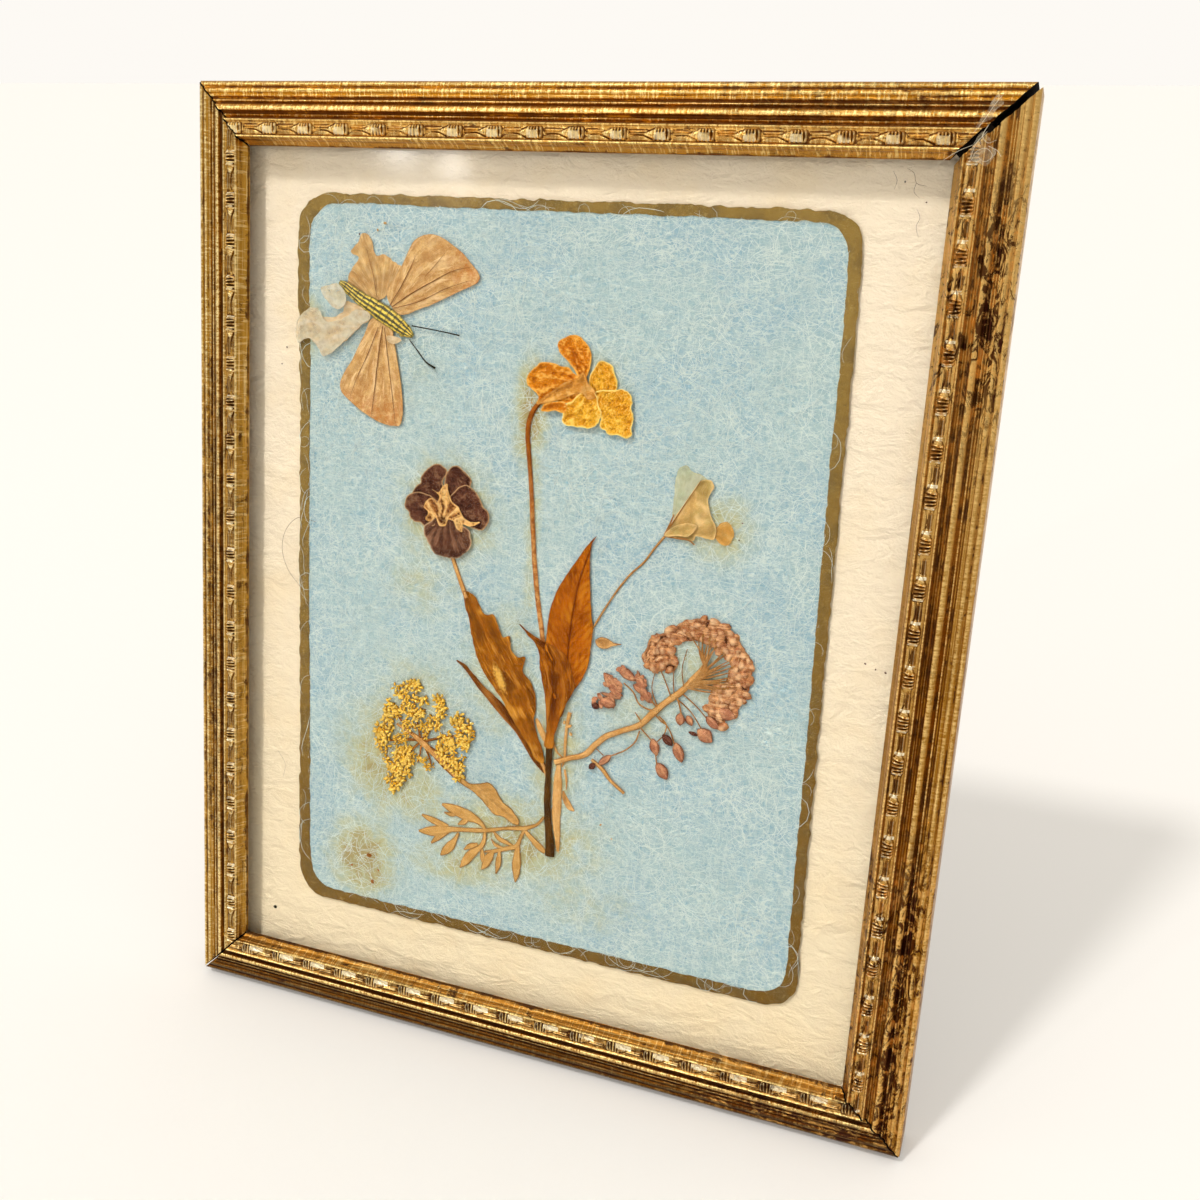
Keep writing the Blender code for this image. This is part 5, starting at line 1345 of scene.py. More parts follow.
        1024, 636, 1046, 660, 1066, 684, 1090, 700, 1116, 716, 1140, 714, 1150, 694, 1136, 674, 1110, 654,
        1084, 628, 1062, 600, 1036, 572, 1010, 550, 986),
    "straw_leaflet": sheet("straw", "dry_stem", flatRelief(), 0.22, 0.02, "back", (750, 1176, 774, 1210),
        750, 1176, 758, 1186, 768, 1200, 774, 1210, 764, 1210, 754, 1200, 750, 1190),
}
# where florets and papery scraps are scattered
regions = {
    "umbel_florets_top": pairs(412, 1040, 436, 1028, 450, 1020, 462, 1018, 467, 1028, 464, 1044, 474, 1048,
        479, 1062, 470, 1074, 465, 1096, 452, 1100, 438, 1090, 426, 1080, 440, 1064, 424, 1060),
    "umbel_florets_long": pairs(496, 1044, 506, 1044, 511, 1070, 514, 1086, 504, 1096, 494, 1112, 482, 1110,
        480, 1096, 486, 1076, 490, 1062),
    "umbel_florets_left": pairs(394, 1066, 408, 1074, 420, 1086, 416, 1102, 406, 1118, 402, 1136, 398, 1152,
        389, 1172, 374, 1150, 373, 1134, 382, 1116, 387, 1090),
    "umbel_florets_lower_left": pairs(396, 1176, 416, 1162, 430, 1152, 446, 1156, 450, 1172, 444, 1196, 440,
        1214, 430, 1228, 422, 1242, 409, 1237, 396, 1214, 404, 1200),
    "umbel_florets_right": pairs(530, 1082, 548, 1068, 560, 1080, 570, 1086, 570, 1104, 566, 1120, 558,
        1134, 548, 1126, 536, 1114, 543, 1098),
    "umbel_florets_lower_right": pairs(502, 1134, 520, 1120, 536, 1128, 546, 1144, 558, 1156, 554, 1174,
        546, 1192, 534, 1184, 516, 1170, 504, 1154),
    "raceme_buds_left": pairs(838, 934, 850, 932, 864, 939, 876, 936, 887, 949, 889, 962, 897, 972, 898,
        982, 890, 988, 880, 980, 868, 970, 866, 954, 845, 949),
    "raceme_buds_far_left": pairs(812, 949, 828, 954, 842, 962, 845, 974, 840, 986, 836, 996, 826, 1008,
        812, 1006, 802, 1010, 796, 998, 810, 987, 814, 972),
}
# look, slot, flatness, layer, and x, y and width along the stem
stalks = {
    "moth_antenna_upper": ("antenna", "moth_antenna", 0.9, "front", triples(423, 391.5, 2, 468, 396, 2, 508,
        401, 2.4, 514, 402, 2.8)),
    "moth_antenna_lower": ("antenna", "moth_antenna", 0.9, "front", triples(419, 415, 2, 435, 432, 2.2, 456,
        453, 2.8, 470, 459.5, 4.2)),
    "viola_stem": ("violaBend", "dry_stem", 0.4, "back", triples(672, 496, 7, 661, 507, 8, 653, 520, 9, 648,
        536, 9, 647, 554, 9, 649, 574, 8.5, 654, 610, 8, 660, 660, 8, 666, 720, 8.5, 673, 780, 9, 682, 840,
        9, 692, 890, 9, 697, 916, 9)),
    "pansy_stem": ("tanStem", "dry_stem", 0.4, "back", triples(512, 774, 8, 518, 790, 8, 527, 812, 8, 536,
        832, 9, 546, 854, 9)),
    "pale_stem": ("tanStem", "dry_stem", 0.6, "back", triples(912, 687, 4.5, 900, 702, 4.2, 885, 723, 3.6,
        868, 749, 3.4, 848, 770, 3.4, 828, 798, 3.4, 808, 832, 3.4, 789, 868, 3.8, 779, 886, 3.8)),
    "raceme_twig": ("tanStem", "dry_stem", 0.5, "middle", triples(800, 1108, 6, 820, 1121, 8, 836, 1138, 7,
        864, 1158, 6)),
    "main_stem": ("darkStem", "dark_leaf", 0.35, "middle", triples(720, 1054, 12, 720, 1100, 13, 721, 1150,
        11, 722, 1200, 13, 727, 1250, 14, 732, 1280, 18, 733, 1304, 19)),
    "straw_stem": ("straw", "dry_stem", 0.14, "back", triples(739, 1126, 8, 739, 1165, 16, 740, 1200, 18,
        741, 1240, 15, 745, 1270, 10, 747, 1292, 5)),
}


def buildSheets():
    for number, (key, values) in enumerate(sheets.items()):
        look, slot, relief, spacing, ragged, depth, spine, outline = values
        part = pressedSheet(outline, spine, depth, relief, spacing, 0.07, ragged, 70 + number)
        addGrown("pressed_" + key, [part], look)
    print("petals, leaves and wings made")


extraStems = {
    "moth_vein_lines": ("wingVein", "moth_wing", 1.84, 0.5, [
        triples(378, 362, 1.2, 402, 324, 1.4, 416, 298, 1.2, 426, 276, 0.6),
        triples(384, 362, 1.6, 420, 338, 1.8, 460, 316, 1.4, 500, 296, 1, 530, 289, 0.5),
        triples(388, 364, 1.2, 436, 350, 1.2, 486, 326, 1, 526, 312, 0.5),
        triples(446, 308, 0.8, 470, 282, 0.8, 486, 262, 0.4),
        triples(366, 396, 1.4, 358, 460, 1.4, 352, 520, 1, 348, 554, 0.5),
        triples(370, 398, 1.2, 380, 460, 1.2, 390, 520, 1, 396, 560, 0.5),
        triples(358, 398, 1.2, 338, 446, 1.2, 314, 496, 0.8, 304, 524, 0.4),
        triples(354, 348, 1, 344, 306, 1, 330, 264, 0.5)]),
    "pale_calyx": ("tanStem", "dry_stem", 1.78, 0.5, [
        triples(901, 699, 3.5, 920, 700, 3, 946, 702, 3, 954, 708, 2),
        triples(902, 697, 3.5, 909, 680, 3, 915, 662, 2.2),
        triples(902, 698, 2.5, 924, 658, 1.6, 956, 602, 1),
        triples(903, 698, 3, 922, 687, 2.5, 938, 682, 2)]),
    "small_straws": ("straw", "dry_stem", 2.16, 0.3, [
        triples(692, 1052, 5, 700, 1068, 11, 710, 1086, 10, 718, 1100, 4),
        triples(754, 1030, 7, 750, 1056, 6, 749, 1090, 5.5, 750, 1120, 5),
        triples(726, 1092, 7, 734, 1106, 4, 749, 1120, 3, 746, 1132, 2.5),
        triples(751, 1136, 5, 756, 1160, 3.5, 756, 1174, 1),
        triples(729, 1246, 9, 730, 1264, 7, 731, 1280, 3),
        triples(742, 1260, 5, 747, 1274, 6, 748, 1294, 2),
        triples(692, 1112, 3.5, 706, 1130, 5, 719, 1154, 7, 722, 1170, 4),
        triples(664, 1083, 3, 686, 1104, 4.5, 706, 1132, 5, 718, 1156, 5)]),
    "umbel_rays": ("rayStem", "dry_stem", 2.02, 0.6, [
        triples(466, 1134, 6, 440, 1116, 4.5, 416, 1092, 3, 406, 1080, 2),
        triples(464, 1132, 6, 430, 1138, 4.5, 400, 1144, 3, 386, 1142, 2),
        triples(466, 1136, 5, 446, 1158, 4, 432, 1184, 3, 420, 1216, 2),
        triples(466, 1130, 5, 460, 1106, 3.5, 454, 1076, 3, 448, 1050, 2),
        triples(470, 1130, 5, 486, 1108, 3.5, 494, 1084, 2.5),
        triples(472, 1134, 6, 504, 1122, 4, 534, 1112, 3, 554, 1104, 2),
        triples(472, 1138, 6, 500, 1148, 4.5, 524, 1156, 3.5, 540, 1166, 2),
        triples(474, 1142, 5, 486, 1164, 3.5, 490, 1180, 2),
        triples(482, 1146, 5, 508, 1170, 5, 536, 1190, 4),
        triples(468, 1138, 5, 466, 1160, 3.5, 462, 1178, 2)]),
    "raceme_pedicels": ("tanStem", "dry_stem", 1.92, 0.7, [
        triples(912, 1000, 4, 896, 999, 3.4, 879, 992, 3, 868, 974, 2.8, 849, 960, 2.5),
        triples(887, 1026, 4, 880, 1016, 3, 873, 1008, 1.5),
        triples(916, 996, 3, 904, 986, 2.8, 896, 976, 2.5),
        triples(944, 968, 3.6, 951, 984, 3, 955, 999, 3),
        triples(942, 970, 3, 970, 990, 2.2, 994, 1020, 2.2),
        triples(952, 960, 3, 980, 980, 2.2, 1006, 1004, 2),
        triples(882, 1032, 3, 894, 1042, 2.5, 907, 1054, 2.5),
        triples(922, 1012, 3, 937, 1030, 2.5, 947, 1052, 2.5),
        triples(916, 1008, 3, 930, 1020, 2.4, 927, 1040, 2.2, 916, 1054, 2),
        triples(915, 1074, 2.5, 919, 1094, 2.5),
        triples(884, 1040, 3, 878, 1060, 2.8, 862, 1078, 2.5, 836, 1094, 2.5),
        triples(808, 1086, 2, 822, 1096, 2),
        triples(908, 1006, 3, 924, 1018, 2.5, 932, 1022, 1),
        triples(936, 974, 3, 924, 948, 2.2, 910, 922, 2),
        triples(940, 970, 2.5, 936, 930, 1.8, 940, 900, 1.5),
        triples(956, 954, 2.5, 950, 920, 1.6, 956, 884, 1.4),
        triples(916, 1000, 3, 900, 960, 1.8, 904, 930, 1.6)]),
    "card_hair": ("hair", "blue_tissue", 2.14, 1.0, [
        triples(236, 754, 0.7, 200, 750, 0.8, 174, 774, 0.9, 165, 810, 0.8, 178, 850, 0.8, 206, 880, 0.6),
        triples(1226, 116, 0.4, 1236, 122, 0.7, 1241, 136, 0.6, 1256, 140, 0.4),
        triples(1241, 136, 0.5, 1239, 148, 0.6, 1248, 157, 0.3),
        triples(1206, 120, 0.3, 1213, 133, 0.6, 1210, 146, 0.3),
        triples(1246, 172, 0.3, 1252, 185, 0.6, 1248, 196, 0.6, 1253, 212, 0.3),
        triples(160, 1210, 0.5, 176, 1234, 0.6, 172, 1260, 0.5)]),
}


def buildStems():
    for number, (key, (look, slot, flatten, layer, line)) in enumerate(stalks.items()):
        part = stem(line, layers[layer] - 0.05, flatten, seed=120 + number)
        addGrown("pressed_" + key, [part], look)
    for number, (key, (look, slot, depth, flatten, lines)) in enumerate(extraStems.items()):
        parts = [stem(line, depth, flatten, 6, 140 + number * 20 + k) for k, line in enumerate(lines)]
        addGrown("pressed_" + key, parts, look)
    print("stems made")


# the moth's body: x, y and width along it, from its tail to its head
mothBody = {"line": triples(279, 326, 7, 288, 331, 15, 304, 341, 19, 324, 353, 23, 346, 364, 28, 368, 375,
                            31, 388, 386, 30, 404, 396, 25, 416, 403, 18, 425, 409, 8),
            "eye": (39.9, 40.3, 40.8, 41.1, 0.75), "depth": 1.86, "flatten": 0.34}


def mothBodyPaint():
    paint = Paint("moth body")
    along, across, edge = paint.parts(paint.attribute("grow"))
    place = paint.attribute("face")
    fur = paint.noise(paint.vector(across * 4.0, along * 0.8), 0.5, 4.0, 0.6, 0.5)
    side = across / (across.apply("ABSOLUTE") + edge + 0.01) + (fur - 0.5) * 0.45
    off = side.apply("ABSOLUTE")
    line = 1 - (side - 0.02).apply("ABSOLUTE").ramp(0.10, 0.20)
    flank = off.ramp(0.36, 0.46) * (1 - off.ramp(0.64, 0.74))
    rim = off.ramp(0.80, 0.94)
    rings = ((along * 0.72).apply("FRACT") - 0.5).apply("ABSOLUTE").ramp(0.39, 0.47) * 0.65
    tail = (1 - along.ramp(1.0, 6.0)) * 0.45
    black = (line + flank + rim * 0.8 + rings + tail * fur.ramp(0.4, 0.6)).apply("MINIMUM", 1.0)
    gold = paint.mix(paint.noise(place, 0.8, 3.0, 0.6).ramp(0.35, 0.65), tone(240, 216, 84),
                     tone(214, 180, 44))
    colour = paint.mix(black * 0.96, gold, tone(34, 32, 14))
    colour = paint.mix(fur.ramp(0.62, 0.8) * 0.4, colour, tone(250, 236, 150))
    return paint.finish(colour, 0.55, 0.0, paint.bump(fur, 0.7, 0.00015))


def buildMothBody():
    line = smoothLine(mothBody["line"], 0.3)
    points, faces, grow = tubeAlong(flatTo(line, mothBody["depth"]), line[:, 2], mothBody["flatten"], 20, 7)
    ring = np.sin(grow[:, 0] * 2 * math.pi * 0.72) * 0.035
    points[:, 2] += ring
    eye = budPart(mothBody["eye"], 1.7, 3, 0.6)
    points, faces, grow = joined([(points, faces, grow), eye])
    addPiece("pressed_moth_body", points, faces, mothBodyPaint(),
             {"grow": grow[:, :3]}, replaces=("moth_body",))
    print("moth body made")


fernStrips = [
    triples(717, 1233, 5, 704, 1250, 6, 682, 1262, 9),
    triples(679, 1264, 7, 696, 1279, 11, 710, 1290, 13, 723, 1300, 9),
    triples(686, 1261, 10, 640, 1271, 7, 605, 1282, 9, 565, 1289, 9, 530, 1295, 12, 510, 1298, 16),
    triples(534, 1294, 12, 506, 1303, 20, 486, 1308, 16, 468, 1311, 4),
    triples(528, 1292, 11, 504, 1286, 14, 488, 1282, 12, 473, 1278, 4),
    triples(528, 1300, 9, 510, 1314, 13, 495, 1330, 4),
    triples(605, 1282, 6, 594, 1270, 11, 574, 1262, 20, 552, 1257, 23, 530, 1252, 16, 514, 1249, 5),
    triples(570, 1262, 9, 560, 1274, 12, 548, 1282, 3),
    triples(548, 1258, 11, 534, 1265, 9, 519, 1264, 3),
    triples(550, 1298, 5, 544, 1312, 9, 534, 1328, 18, 524, 1340, 14, 515, 1350, 3),
    triples(603, 1284, 6, 602, 1302, 9, 596, 1316, 10, 586, 1326, 9),
    triples(596, 1316, 8, 580, 1332, 17, 568, 1348, 17, 556, 1366, 3),
    triples(590, 1312, 6, 574, 1320, 11, 562, 1329, 3),
    triples(599, 1320, 6, 601, 1336, 11, 606, 1352, 3),
    triples(622, 1319, 6, 614, 1332, 16, 607, 1348, 14, 600, 1360, 3),
    triples(634, 1316, 6, 633, 1338, 12, 629, 1362, 3),
    triples(670, 1296, 6, 669, 1314, 13, 669, 1336, 18, 669, 1354, 13, 668, 1370, 2.5),
    triples(680, 1266, 7, 674, 1282, 7, 667, 1299, 9, 646, 1309, 9, 622, 1319, 8, 604, 1324, 4),
    triples(620, 1281, 3.5, 632, 1292, 10, 648, 1297, 8, 662, 1301, 5),
    triples(640, 1309, 6, 626, 1306, 8, 616, 1296, 2),
]


def buildFern():
    parts = [stem(line, 2.2 - 0.012 * (k % 4), 0.13, 10, 300 + k, step=0.35)
             for k, line in enumerate(fernStrips)]
    addGrown("pressed_fern_leaf", parts, "fern")


# each bud's foot, tip and width
buds = {
    "raceme_bud_middle": pairs(953, 996, 954, 1018, 17, 965, 998, 975, 1015, 13, wide=5),
    "raceme_bud_lowest": pairs(919, 1091, 939, 1118, 21, wide=5),
    "raceme_buds_left": pairs(837, 935, 871, 953, 18, 872, 943, 888, 968, 15, 880, 960, 898, 988, 14, 872,
        934, 878, 954, 7, 866, 960, 886, 974, 11, wide=5),
    "raceme_buds_far_left": pairs(812, 948, 842, 978, 18, 822, 972, 850, 984, 10, 809, 996, 838, 1002, 20,
        826, 980, 834, 1009, 12, 808, 984, 846, 990, 8, wide=5),
    "raceme_buds_loose": pairs(985, 1019, 1012, 1037, 25, 908, 1049, 918, 1079, 17, 949, 1049, 963, 1082,
        20, 836, 1093, 813, 1116, 13, 1016, 980, 1048, 988, 22, 998, 994, 1022, 1012, 17, wide=5),
}
darkBits = pairs(925, 1039, 944, 1056, 15, 808, 1113, 797, 1125, 11, 794, 1006, 808, 1012, 13, 816, 992,
                 828, 996, 9, 970, 1026, 988, 1030, 7, 493, 714, 502, 724, 11, wide=5)


def buildBuds():
    for number, (key, items) in enumerate(buds.items()):
        parts = [budPart(row, 1.98 - 0.06 * (k % 3), 400 + number * 10 + k) for k, row in enumerate(items)]
        addGrown("pressed_" + key, parts, "racemeBud")
    parts = [budPart(row, 1.86, 460 + k) for k, row in enumerate(darkBits)]
    addGrown("pressed_dark_bits", parts, "darkBit")
    print("buds made")


def blob(centre, radii, turn, seed, around=6, rows=4):
    # a small lump with few faces, for the pieces that are repeated many times
    points = [(0, 0, -1.0)]
    for j in range(1, rows):
        polar = math.pi * j / rows
        for i in range(around):
            angle = 2 * math.pi * i / around
            points.append((math.sin(polar) * math.cos(angle), math.sin(polar) * math.sin(angle),
                           -math.cos(polar)))
    points.append((0, 0, 1.0))
    points = np.array(points) * (1 + 0.22 * wobble(np.arange(len(points)) * 1.7, seed, 1.0, seed))[:, None]
    points = points * np.array(radii)
    spin = np.array([[math.cos(turn), -math.sin(turn), 0], [math.sin(turn), math.cos(turn), 0], [0, 0, 1]])
    points = points @ spin.T + np.array(centre)
    faces = [(0, 1 + (i + 1) % around, 1 + i) for i in range(around)]
    for j in range(rows - 2):
        a, b = 1 + j * around, 1 + (j + 1) * around
        faces += [(a + i, a + (i + 1) % around, b + (i + 1) % around, b + i) for i in range(around)]
    last, start = len(points) - 1, 1 + (rows - 2) * around
    faces += [(last, start + i, start + (i + 1) % around) for i in range(around)]
    return points, faces, np.zeros((len(points), 4))


def template(name, parts):
    points, faces, _ = joined(parts)
    return newObject(name, newMesh(name, points, faces))


def floretTemplate(seed):
    # a few fat crooked lobes round one point
    rng = np.random.default_rng(seed)
    lobes = []
    for k in range(4):
        turn = k * 1.6 + rng.uniform(-0.5, 0.5)
        reach = rng.uniform(0.22, 0.42)
        centre = (math.cos(turn) * reach, math.sin(turn) * reach, rng.uniform(-0.12, 0.08))
        lobes.append(blob(centre, (0.29, 0.145, 0.18), turn + rng.uniform(-0.6, 0.6), seed + k))
    return template("floret template", lobes)


def scaleTemplate(seed):
    # one dry papery petal, cupped and creased
    columns, rows = 6, 5
    points = []
    for side in (0, 1):
        for i in range(columns + 1):
            for j in range(rows + 1):
                u, v = i / columns * 2 - 1, j / rows * 2 - 1
                width = math.sqrt(max(0.0, 1 - u * u)) * 0.62 + 0.04
                x, y = u * 1.0, v * width
                z = -0.16 * (1 - v * v) + 0.12 * math.sin(u * 3 + seed) + 0.10 * float(
                    wobble(np.array([x]), np.array([y]), 0.5, seed)[0])
                points.append((x, y, z + side * 0.05))
    count = len(points) // 2
    faces, rim = gridFaces(columns, rows)
    faces = [f[:1] + f[:0:-1] for f in faces]
    faces += [tuple(k + count for k in f[::-1]) for f in faces]
    faces += [(a, b, b + count, a + count) for a, b in zip(rim, rim[1:] + rim[:1])]
    return template("scale template", [(np.array(points), faces, np.zeros((len(points), 4)))])


def fibreTemplate(seed):
    # one thread of the tissue, lying in loose curves
    rng = np.random.default_rng(seed)
    heading, place, line = rng.uniform(0, 6.28), np.zeros(2), []
    bend = rng.uniform(-0.9, 0.9)
    for k in range(7):
        line.append((place[0], place[1], 0.02 * math.sin(k * 1.7 + seed)))
        bend += rng.uniform(-0.45, 0.45)
        heading += bend * 0.5
        place = place + np.array([math.cos(heading), math.sin(heading)]) * 0.16
    line = np.array(line) - np.array([*np.mean(np.array(line)[:, :2], axis=0), 0])
    points, faces, grow = tubeAlong(line, np.array([0.5, 1, 1, 0.9, 1, 1, 0.5]) * 0.011, 0.8, 3, seed)
    return template("fibre template", [(points, faces, grow[:, :4])])


def scatterTree():
    tree = GeometryTree("scatter", {"Template": "Object", "Spacing": "Float", "Density": "Float",
                                    "Seed": "Int", "Turn low": "Vector", "Turn high": "Vector",
                                    "Small": "Float", "Large": "Float", "Material": "Material"})
    placed = tree.node("GeometryNodeDistributePointsOnFaces", {"distribute_method": "POISSON"},
                       {"Mesh": tree.given("Geometry"), "Distance Min": tree.given("Spacing"),
                        "Density Max": tree.given("Density"), "Seed": tree.given("Seed")})
    turn = tree.node("FunctionNodeRandomValue", {"data_type": "FLOAT_VECTOR"},
                     {0: tree.given("Turn low"), 1: tree.given("Turn high"), 8: tree.given("Seed")})
    size = tree.node("FunctionNodeRandomValue", {"data_type": "FLOAT"},
                     {2: tree.given("Small"), 3: tree.given("Large"), 8: tree.given("Seed")}, 1)
    thing = tree.node("GeometryNodeObjectInfo", {}, {"Object": tree.given("Template")}, "Geometry")
    tree.close(tree.node("GeometryNodeInstanceOnPoints", {},
                         {"Points": placed, "Instance": thing, "Rotation": turn, "Scale": size}))
    return tree


# depth, least gap, number to a square millimetre, least and greatest size, tilt, and region's mesh
beds = {
    "umbel": {"depth": 1.98, "gap": 0.95, "density": 0.75, "size": (1.3, 2.0), "lean": 0.5, "cell": 0.8},
    "loose": {"depth": 2.02, "gap": 0.9, "density": 0.9, "size": (0.95, 1.45), "lean": 0.5, "cell": 0.6},
    "raceme": {"depth": 2.02, "gap": 1.0, "density": 0.42, "size": (0.75, 1.25), "lean": 0.22, "cell": 1.0},
    "scraps": {"depth": 1.9, "gap": 0.8, "density": 0.5, "size": (0.5, 0.85), "lean": 0.3, "cell": 0.7},
    "tissue": {"depth": 2.36, "gap": 0.5, "density": 0.096, "size": (4.0, 10.0), "lean": 0.0, "cell": 4.0},
    "edges": {"depth": 2.12, "gap": 0.5, "density": 0.08, "size": (4.0, 10.0), "lean": 0.0, "cell": 4.0},
}


def scatterOver(outline, templates, material, bed, seed):
    # Runs the scatter over the outline once for each template, and joins what comes.
    depth, lean, cell = beds[bed]["depth"], beds[bed]["lean"], beds[bed]["cell"]
    flat, triangles, _ = meshLoop(smoothLine(outline, cell, True), cell)
    carrier = newObject("region", newMesh("region", flatTo(flat, depth), triangles))
    parts = []
    for k, thing in enumerate(templates):
        points, faces = scatter["tree"].run(carrier, {
            "Template": thing, "Spacing": beds[bed]["gap"], "Density": beds[bed]["density"],
            "Seed": seed + k, "Turn low": (-lean, -lean, -math.pi), "Turn high": (lean, lean, math.pi),
            "Small": beds[bed]["size"][0], "Large": beds[bed]["size"][1], "Material": material})
        lift = np.clip((depth + 0.28 - points[:, 2]) / 0.75, 0, 1)
        grow = np.column_stack([points[:, 0] * 0.3, points[:, 1] * 0.3, lift * 0 + 0.5, lift])
        parts.append((points, faces, grow))
    bpy.data.objects.remove(carrier)
    return parts


def within(part, loop, pointsEach, facesEach):
    # Leaves out each scattered thing that has a point outside the loop.
    points, faces, grow = part
    whole = insideLoop(points[:, :2], loop).reshape(-1, pointsEach).all(1)
    kept = np.repeat(whole, pointsEach)
    place = np.cumsum(kept) - 1
    faces = [tuple(int(place[i]) for i in face) for k, face in enumerate(faces) if whole[k // facesEach]]
    return points[kept], faces, grow[kept]


scatter = {}
looseFlorets = [
    pairs(410, 1144, 420, 1130, 434, 1122, 442, 1128, 434, 1140, 420, 1150),
    pairs(462, 1174, 470, 1162, 484, 1166, 492, 1180, 484, 1186, 464, 1180),
    pairs(456, 1104, 470, 1100, 484, 1108, 482, 1124, 464, 1124),
    pairs(434, 1096, 448, 1100, 446, 1116, 432, 1112),
    pairs(506, 1116, 524, 1108, 530, 1120, 514, 1128),
    pairs(416, 1170, 436, 1146, 454, 1160, 444, 1186, 426, 1184),
]


def buildUmbel():
    florets = [floretTemplate(500 + k) for k in range(3)]
    material = painted("floret")
    clusters = [key for key in regions if key.startswith("umbel")]
    for number, key in enumerate(clusters):
        parts = scatterOver(regions[key], florets, material, "umbel", 520 + number * 5)
        addGrown("pressed_" + key, parts, "floret")
    parts = []
    for number, outline in enumerate(looseFlorets):
        parts += scatterOver(outline, florets, material, "loose", 560 + number * 5)
    addGrown("pressed_umbel_loose_florets", parts, "floret")
    line = triples(416, 1110, 5, 444, 1122, 7, 466, 1134, 13, 494, 1154, 12, 520, 1172, 11, 542, 1189, 9)
    addGrown("pressed_umbel_stalk", [stem(line, layers["middle"] - 0.05, 0.4, seed=131)], "tanStem")
    for thing in florets:
        bpy.data.objects.remove(thing)
    print("umbel made")


def buildRaceme():
    scales = [scaleTemplate(600 + k) for k in range(3)]
    parts = scatterOver(sheets["raceme_head"][-1], scales, painted("raceme"), "raceme", 620)
    addGrown("pressed_raceme_scales", parts, "raceme")
    parts = []
    for key in ("raceme_buds_left", "raceme_buds_far_left"):
        parts += scatterOver(regions[key], scales, painted("racemeBud"), "scraps", 640)
    addGrown("pressed_raceme_scraps", parts, "racemeBud")
    for thing in scales:
        bpy.data.objects.remove(thing)
    line = triples(732, 1126, 11, 752, 1116, 10, 790, 1099, 11, 806, 1079, 11, 822, 1063, 11, 852, 1046, 10,
                   884, 1029, 11, 902, 1008, 12, 926, 982, 11, 952, 958, 12, 974, 930, 12, 992, 910, 16)
    parts = [stem(line, layers["middle"] - 0.05, 0.4, seed=133)]
    rim = smoothLine([(96.6, 86.4), (99, 85.6), (101.2, 86.8), (103, 88.6), (104.2, 91), (104.4, 93.2),
                      (103, 94.4), (101.4, 95)], 0.5)
    rays = 24
    ends = rim[np.linspace(0, len(rim) - 1, rays).astype(int)]
    starts = smoothLine([(99.4, 91.6), (98, 92.6), (97, 93.8), (96, 95)], 0.3)
    starts = starts[np.linspace(0, len(starts) - 1, rays).astype(int)]
    for k in range(rays):
        jitter = wobble(np.array([k * 1.3, k * 2.1]), np.array([5.0, 9.0]), 0.9, 640) * 0.7
        middle = (starts[k] * 0.45 + ends[k] * 0.55) + jitter
        line = [(*starts[k], 0.42), (*middle, 0.3), (*(ends[k] + jitter[::-1]), 0.16)]
        parts.append(stem(line, 1.86 - 0.02 * (k % 3), 0.6, 6, 650 + k))
    addGrown("pressed_raceme_stalk", parts, "tanStem")
    print("raceme made")


fibres = {"templates": 6, "seed": 700, "limit": 0.06}


def fibrePaint():
    paint = Paint("tissue fibre")
    place = paint.attribute("face")
    colour = paint.mix(paint.noise(place, 9.0, 3.0, 0.6).ramp(0.35, 0.65), tone(220, 230, 222),
                       tone(200, 216, 212))
    return paint.finish(colour, 0.8)


def buildFibres():
    threads = [fibreTemplate(fibres["seed"] + k) for k in range(fibres["templates"])]
    material = fibrePaint()
    left, top, right, bottom = 19.6, 18.0, 118.6, 149.0
    inner = pairs(226, 210, 1140, 210, 1164, 800, 1174, 1450, 1120, 1464, 270, 1464, 238, 1420, 224, 600)
    edges = [[(22, top), (right - 4, top), (right - 4, top + 1.2), (22, top + 1.2)],
             [(24, bottom - 1.6), (right - 2, bottom - 1.6), (right - 2, bottom), (24, bottom)],
             [(left, 22), (left + 1.4, 22), (left + 2.6, 144), (left + 1.4, 144)],
             [(right - 2.4, 22), (right - 1, 22), (right + 0.8, 144), (right - 0.6, 144)]]
    limit = smoothLine(panelShape["borderOut"], 1.5, True)
    for name, outlines, bed in (("tissue_fibres", [inner], "tissue"), ("border_fibres", edges, "edges")):
        parts = [within(part, limit, 21, 20) for outline in outlines
                 for part in scatterOver(outline, threads, material, bed, fibres["seed"] + 20)]
        points, faces, _ = joined(parts)
        depth = beds[bed]["depth"]
        points[:, 2] = depth + np.clip(points[:, 2] - depth, -fibres["limit"], fibres["limit"])
        points[:, 2] += 0.03 * wobble(points[:, 0], points[:, 1], 1.5, 71)
        addPiece(name, points, faces, material, recalculate=False)
        print(name, len(faces))
    for thing in threads:
        bpy.data.objects.remove(thing)


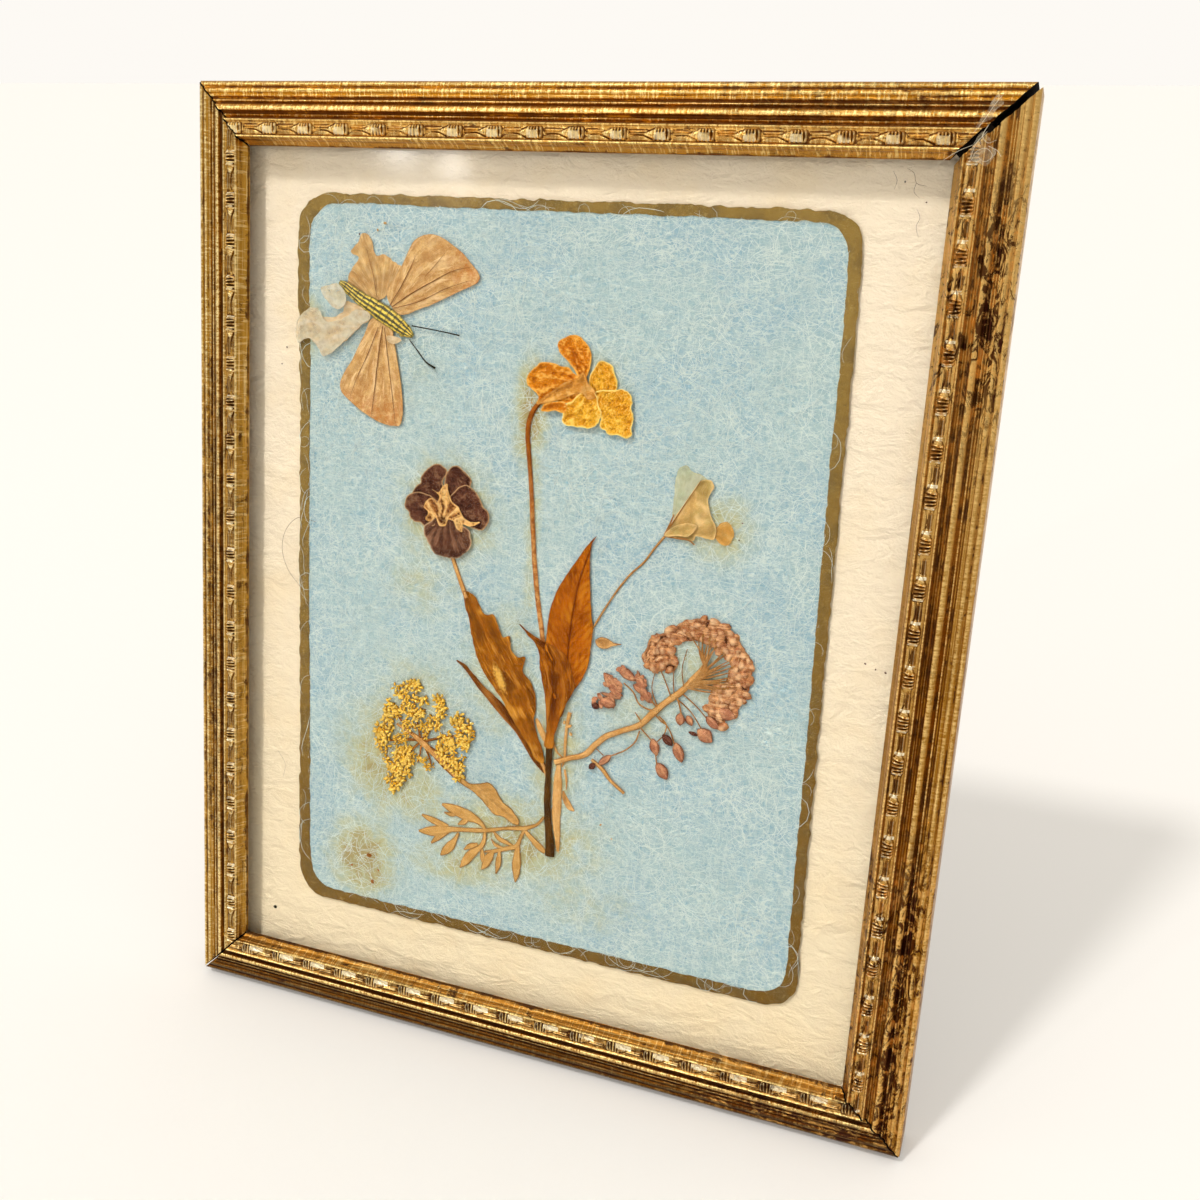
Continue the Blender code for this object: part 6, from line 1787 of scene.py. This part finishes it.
# loose specks: x, y, depth, size and look
specks = [(15.2, 154.2, 2.7, 0.9, "antenna"), (16.8, 44.5, 2.7, 0.35, "darkBit"),
          (15.8, 47.5, 2.7, 0.3, "darkBit"), (124.7, 86.5, 2.7, 0.4, "darkBit"),
          (126.4, 87.2, 2.7, 0.35, "darkBit"), (128, 87.5, 2.7, 0.4, "darkBit"),
          (122.4, 13.4, 2.7, 0.35, "antenna"), (125.8, 16.2, 2.7, 0.3, "darkBit"),
          (60.4, 123.4, 2.3, 0.5, "straw"), (82.4, 122.6, 2.3, 0.5, "straw"),
          (84.6, 124.8, 2.3, 0.35, "straw"), (31.4, 24.4, 2.3, 0.35, "darkBit"),
          (36.4, 22.4, 2.2, 0.7, "wingTorn"), (35, 23.6, 2.2, 0.5, "wingTorn"),
          (75.6, 105.4, 1.9, 0.9, "straw"), (75.9, 106.8, 1.9, 0.8, "straw"),
          (74.6, 104.9, 1.9, 0.8, "straw"), (36.3, 138.4, 2.35, 1.1, "rayStem"),
          (37.2, 143.6, 2.35, 1.0, "rayStem"), (32.6, 141.2, 2.35, 0.6, "rayStem"),
          (38.4, 141.0, 2.35, 0.5, "rayStem"), (65.2, 50.3, 2.1, 0.35, "straw"),
          (102.9, 66.4, 2.3, 0.3, "darkBit"), (102.6, 69.2, 2.3, 0.3, "darkBit")]


def buildSpecks():
    for look in sorted({s[4] for s in specks}):
        parts = []
        for number, (x, y, depth, size, kind) in enumerate(specks):
            if kind == look:
                half = size / 2
                lump = blob((x, y, depth), (half, half * 0.7, half * 0.4), number * 1.3, 800 + number, 8, 5)
                lump[2][:, 2:] = 0.5
                parts.append(lump)
        addGrown(f"specks_{look}", parts, look)


cobweb = {
    "depth": -2.75,
    "films": [pairs(1344, 22, 1352, 34, 1342, 44, 1339, 54, 1328, 59, 1319, 66, 1326, 52, 1332, 42, 1336,
            32),
        pairs(1329, 72, 1338, 78, 1344, 90, 1350, 98, 1346, 108, 1338, 116, 1328, 112, 1319, 110, 1316, 98,
            1320, 84)],
    "threads": [triples(1352, 20, 0.5, 1342, 34, 0.8, 1324, 64, 0.8, 1316, 74, 0.5),
        triples(1336, 62, 0.8, 1330, 78, 1.2, 1338, 86, 0.8, 1349, 82, 0.5),
        triples(1317, 112, 0.6, 1326, 96, 0.9, 1336, 93, 0.9, 1346, 103, 0.9, 1337, 111, 0.7, 1327, 105,
            0.5),
        triples(1339, 90, 0.7, 1353, 97, 1, 1358, 104, 0.5),
        triples(1314, 126, 0.5, 1317, 106, 0.7, 1323, 86, 0.8, 1335, 71, 0.6),
        triples(1266, 122, 0.5, 1282, 109, 0.8, 1302, 96, 0.8, 1318, 89, 0.5)],
}


def buildCobweb():
    depth = cobweb["depth"]
    films = [pressedSheet(film, [film[0], film[-3]], depth, flatRelief(0.10, 0.8), 0.22, 0.04, 0.12, 90 + k)
             for k, film in enumerate(cobweb["films"])]
    addGrown("cobweb_film", films, "cobweb")
    threads = [stem(line * (1, 1, 0.7), depth - 0.1, 0.6, 5, 95 + k, step=0.25)
               for k, line in enumerate(cobweb["threads"])]
    addGrown("cobweb_threads", threads, "thread")


def buildSpecimens():
    scatter["tree"] = scatterTree()
    buildSheets()
    buildStems()
    buildMothBody()
    buildFern()
    buildBuds()
    buildUmbel()
    buildRaceme()
    buildFibres()
    buildSpecks()
    buildCobweb()


# Building
def main():
    bpy.context.scene.view_settings.view_transform = "Standard"
    buildCamera()
    buildLights()
    buildStage()
    buildFrame()
    paintEasel()
    buildCard()
    buildPanel()
    buildBorder()
    buildSpecimens()


main()
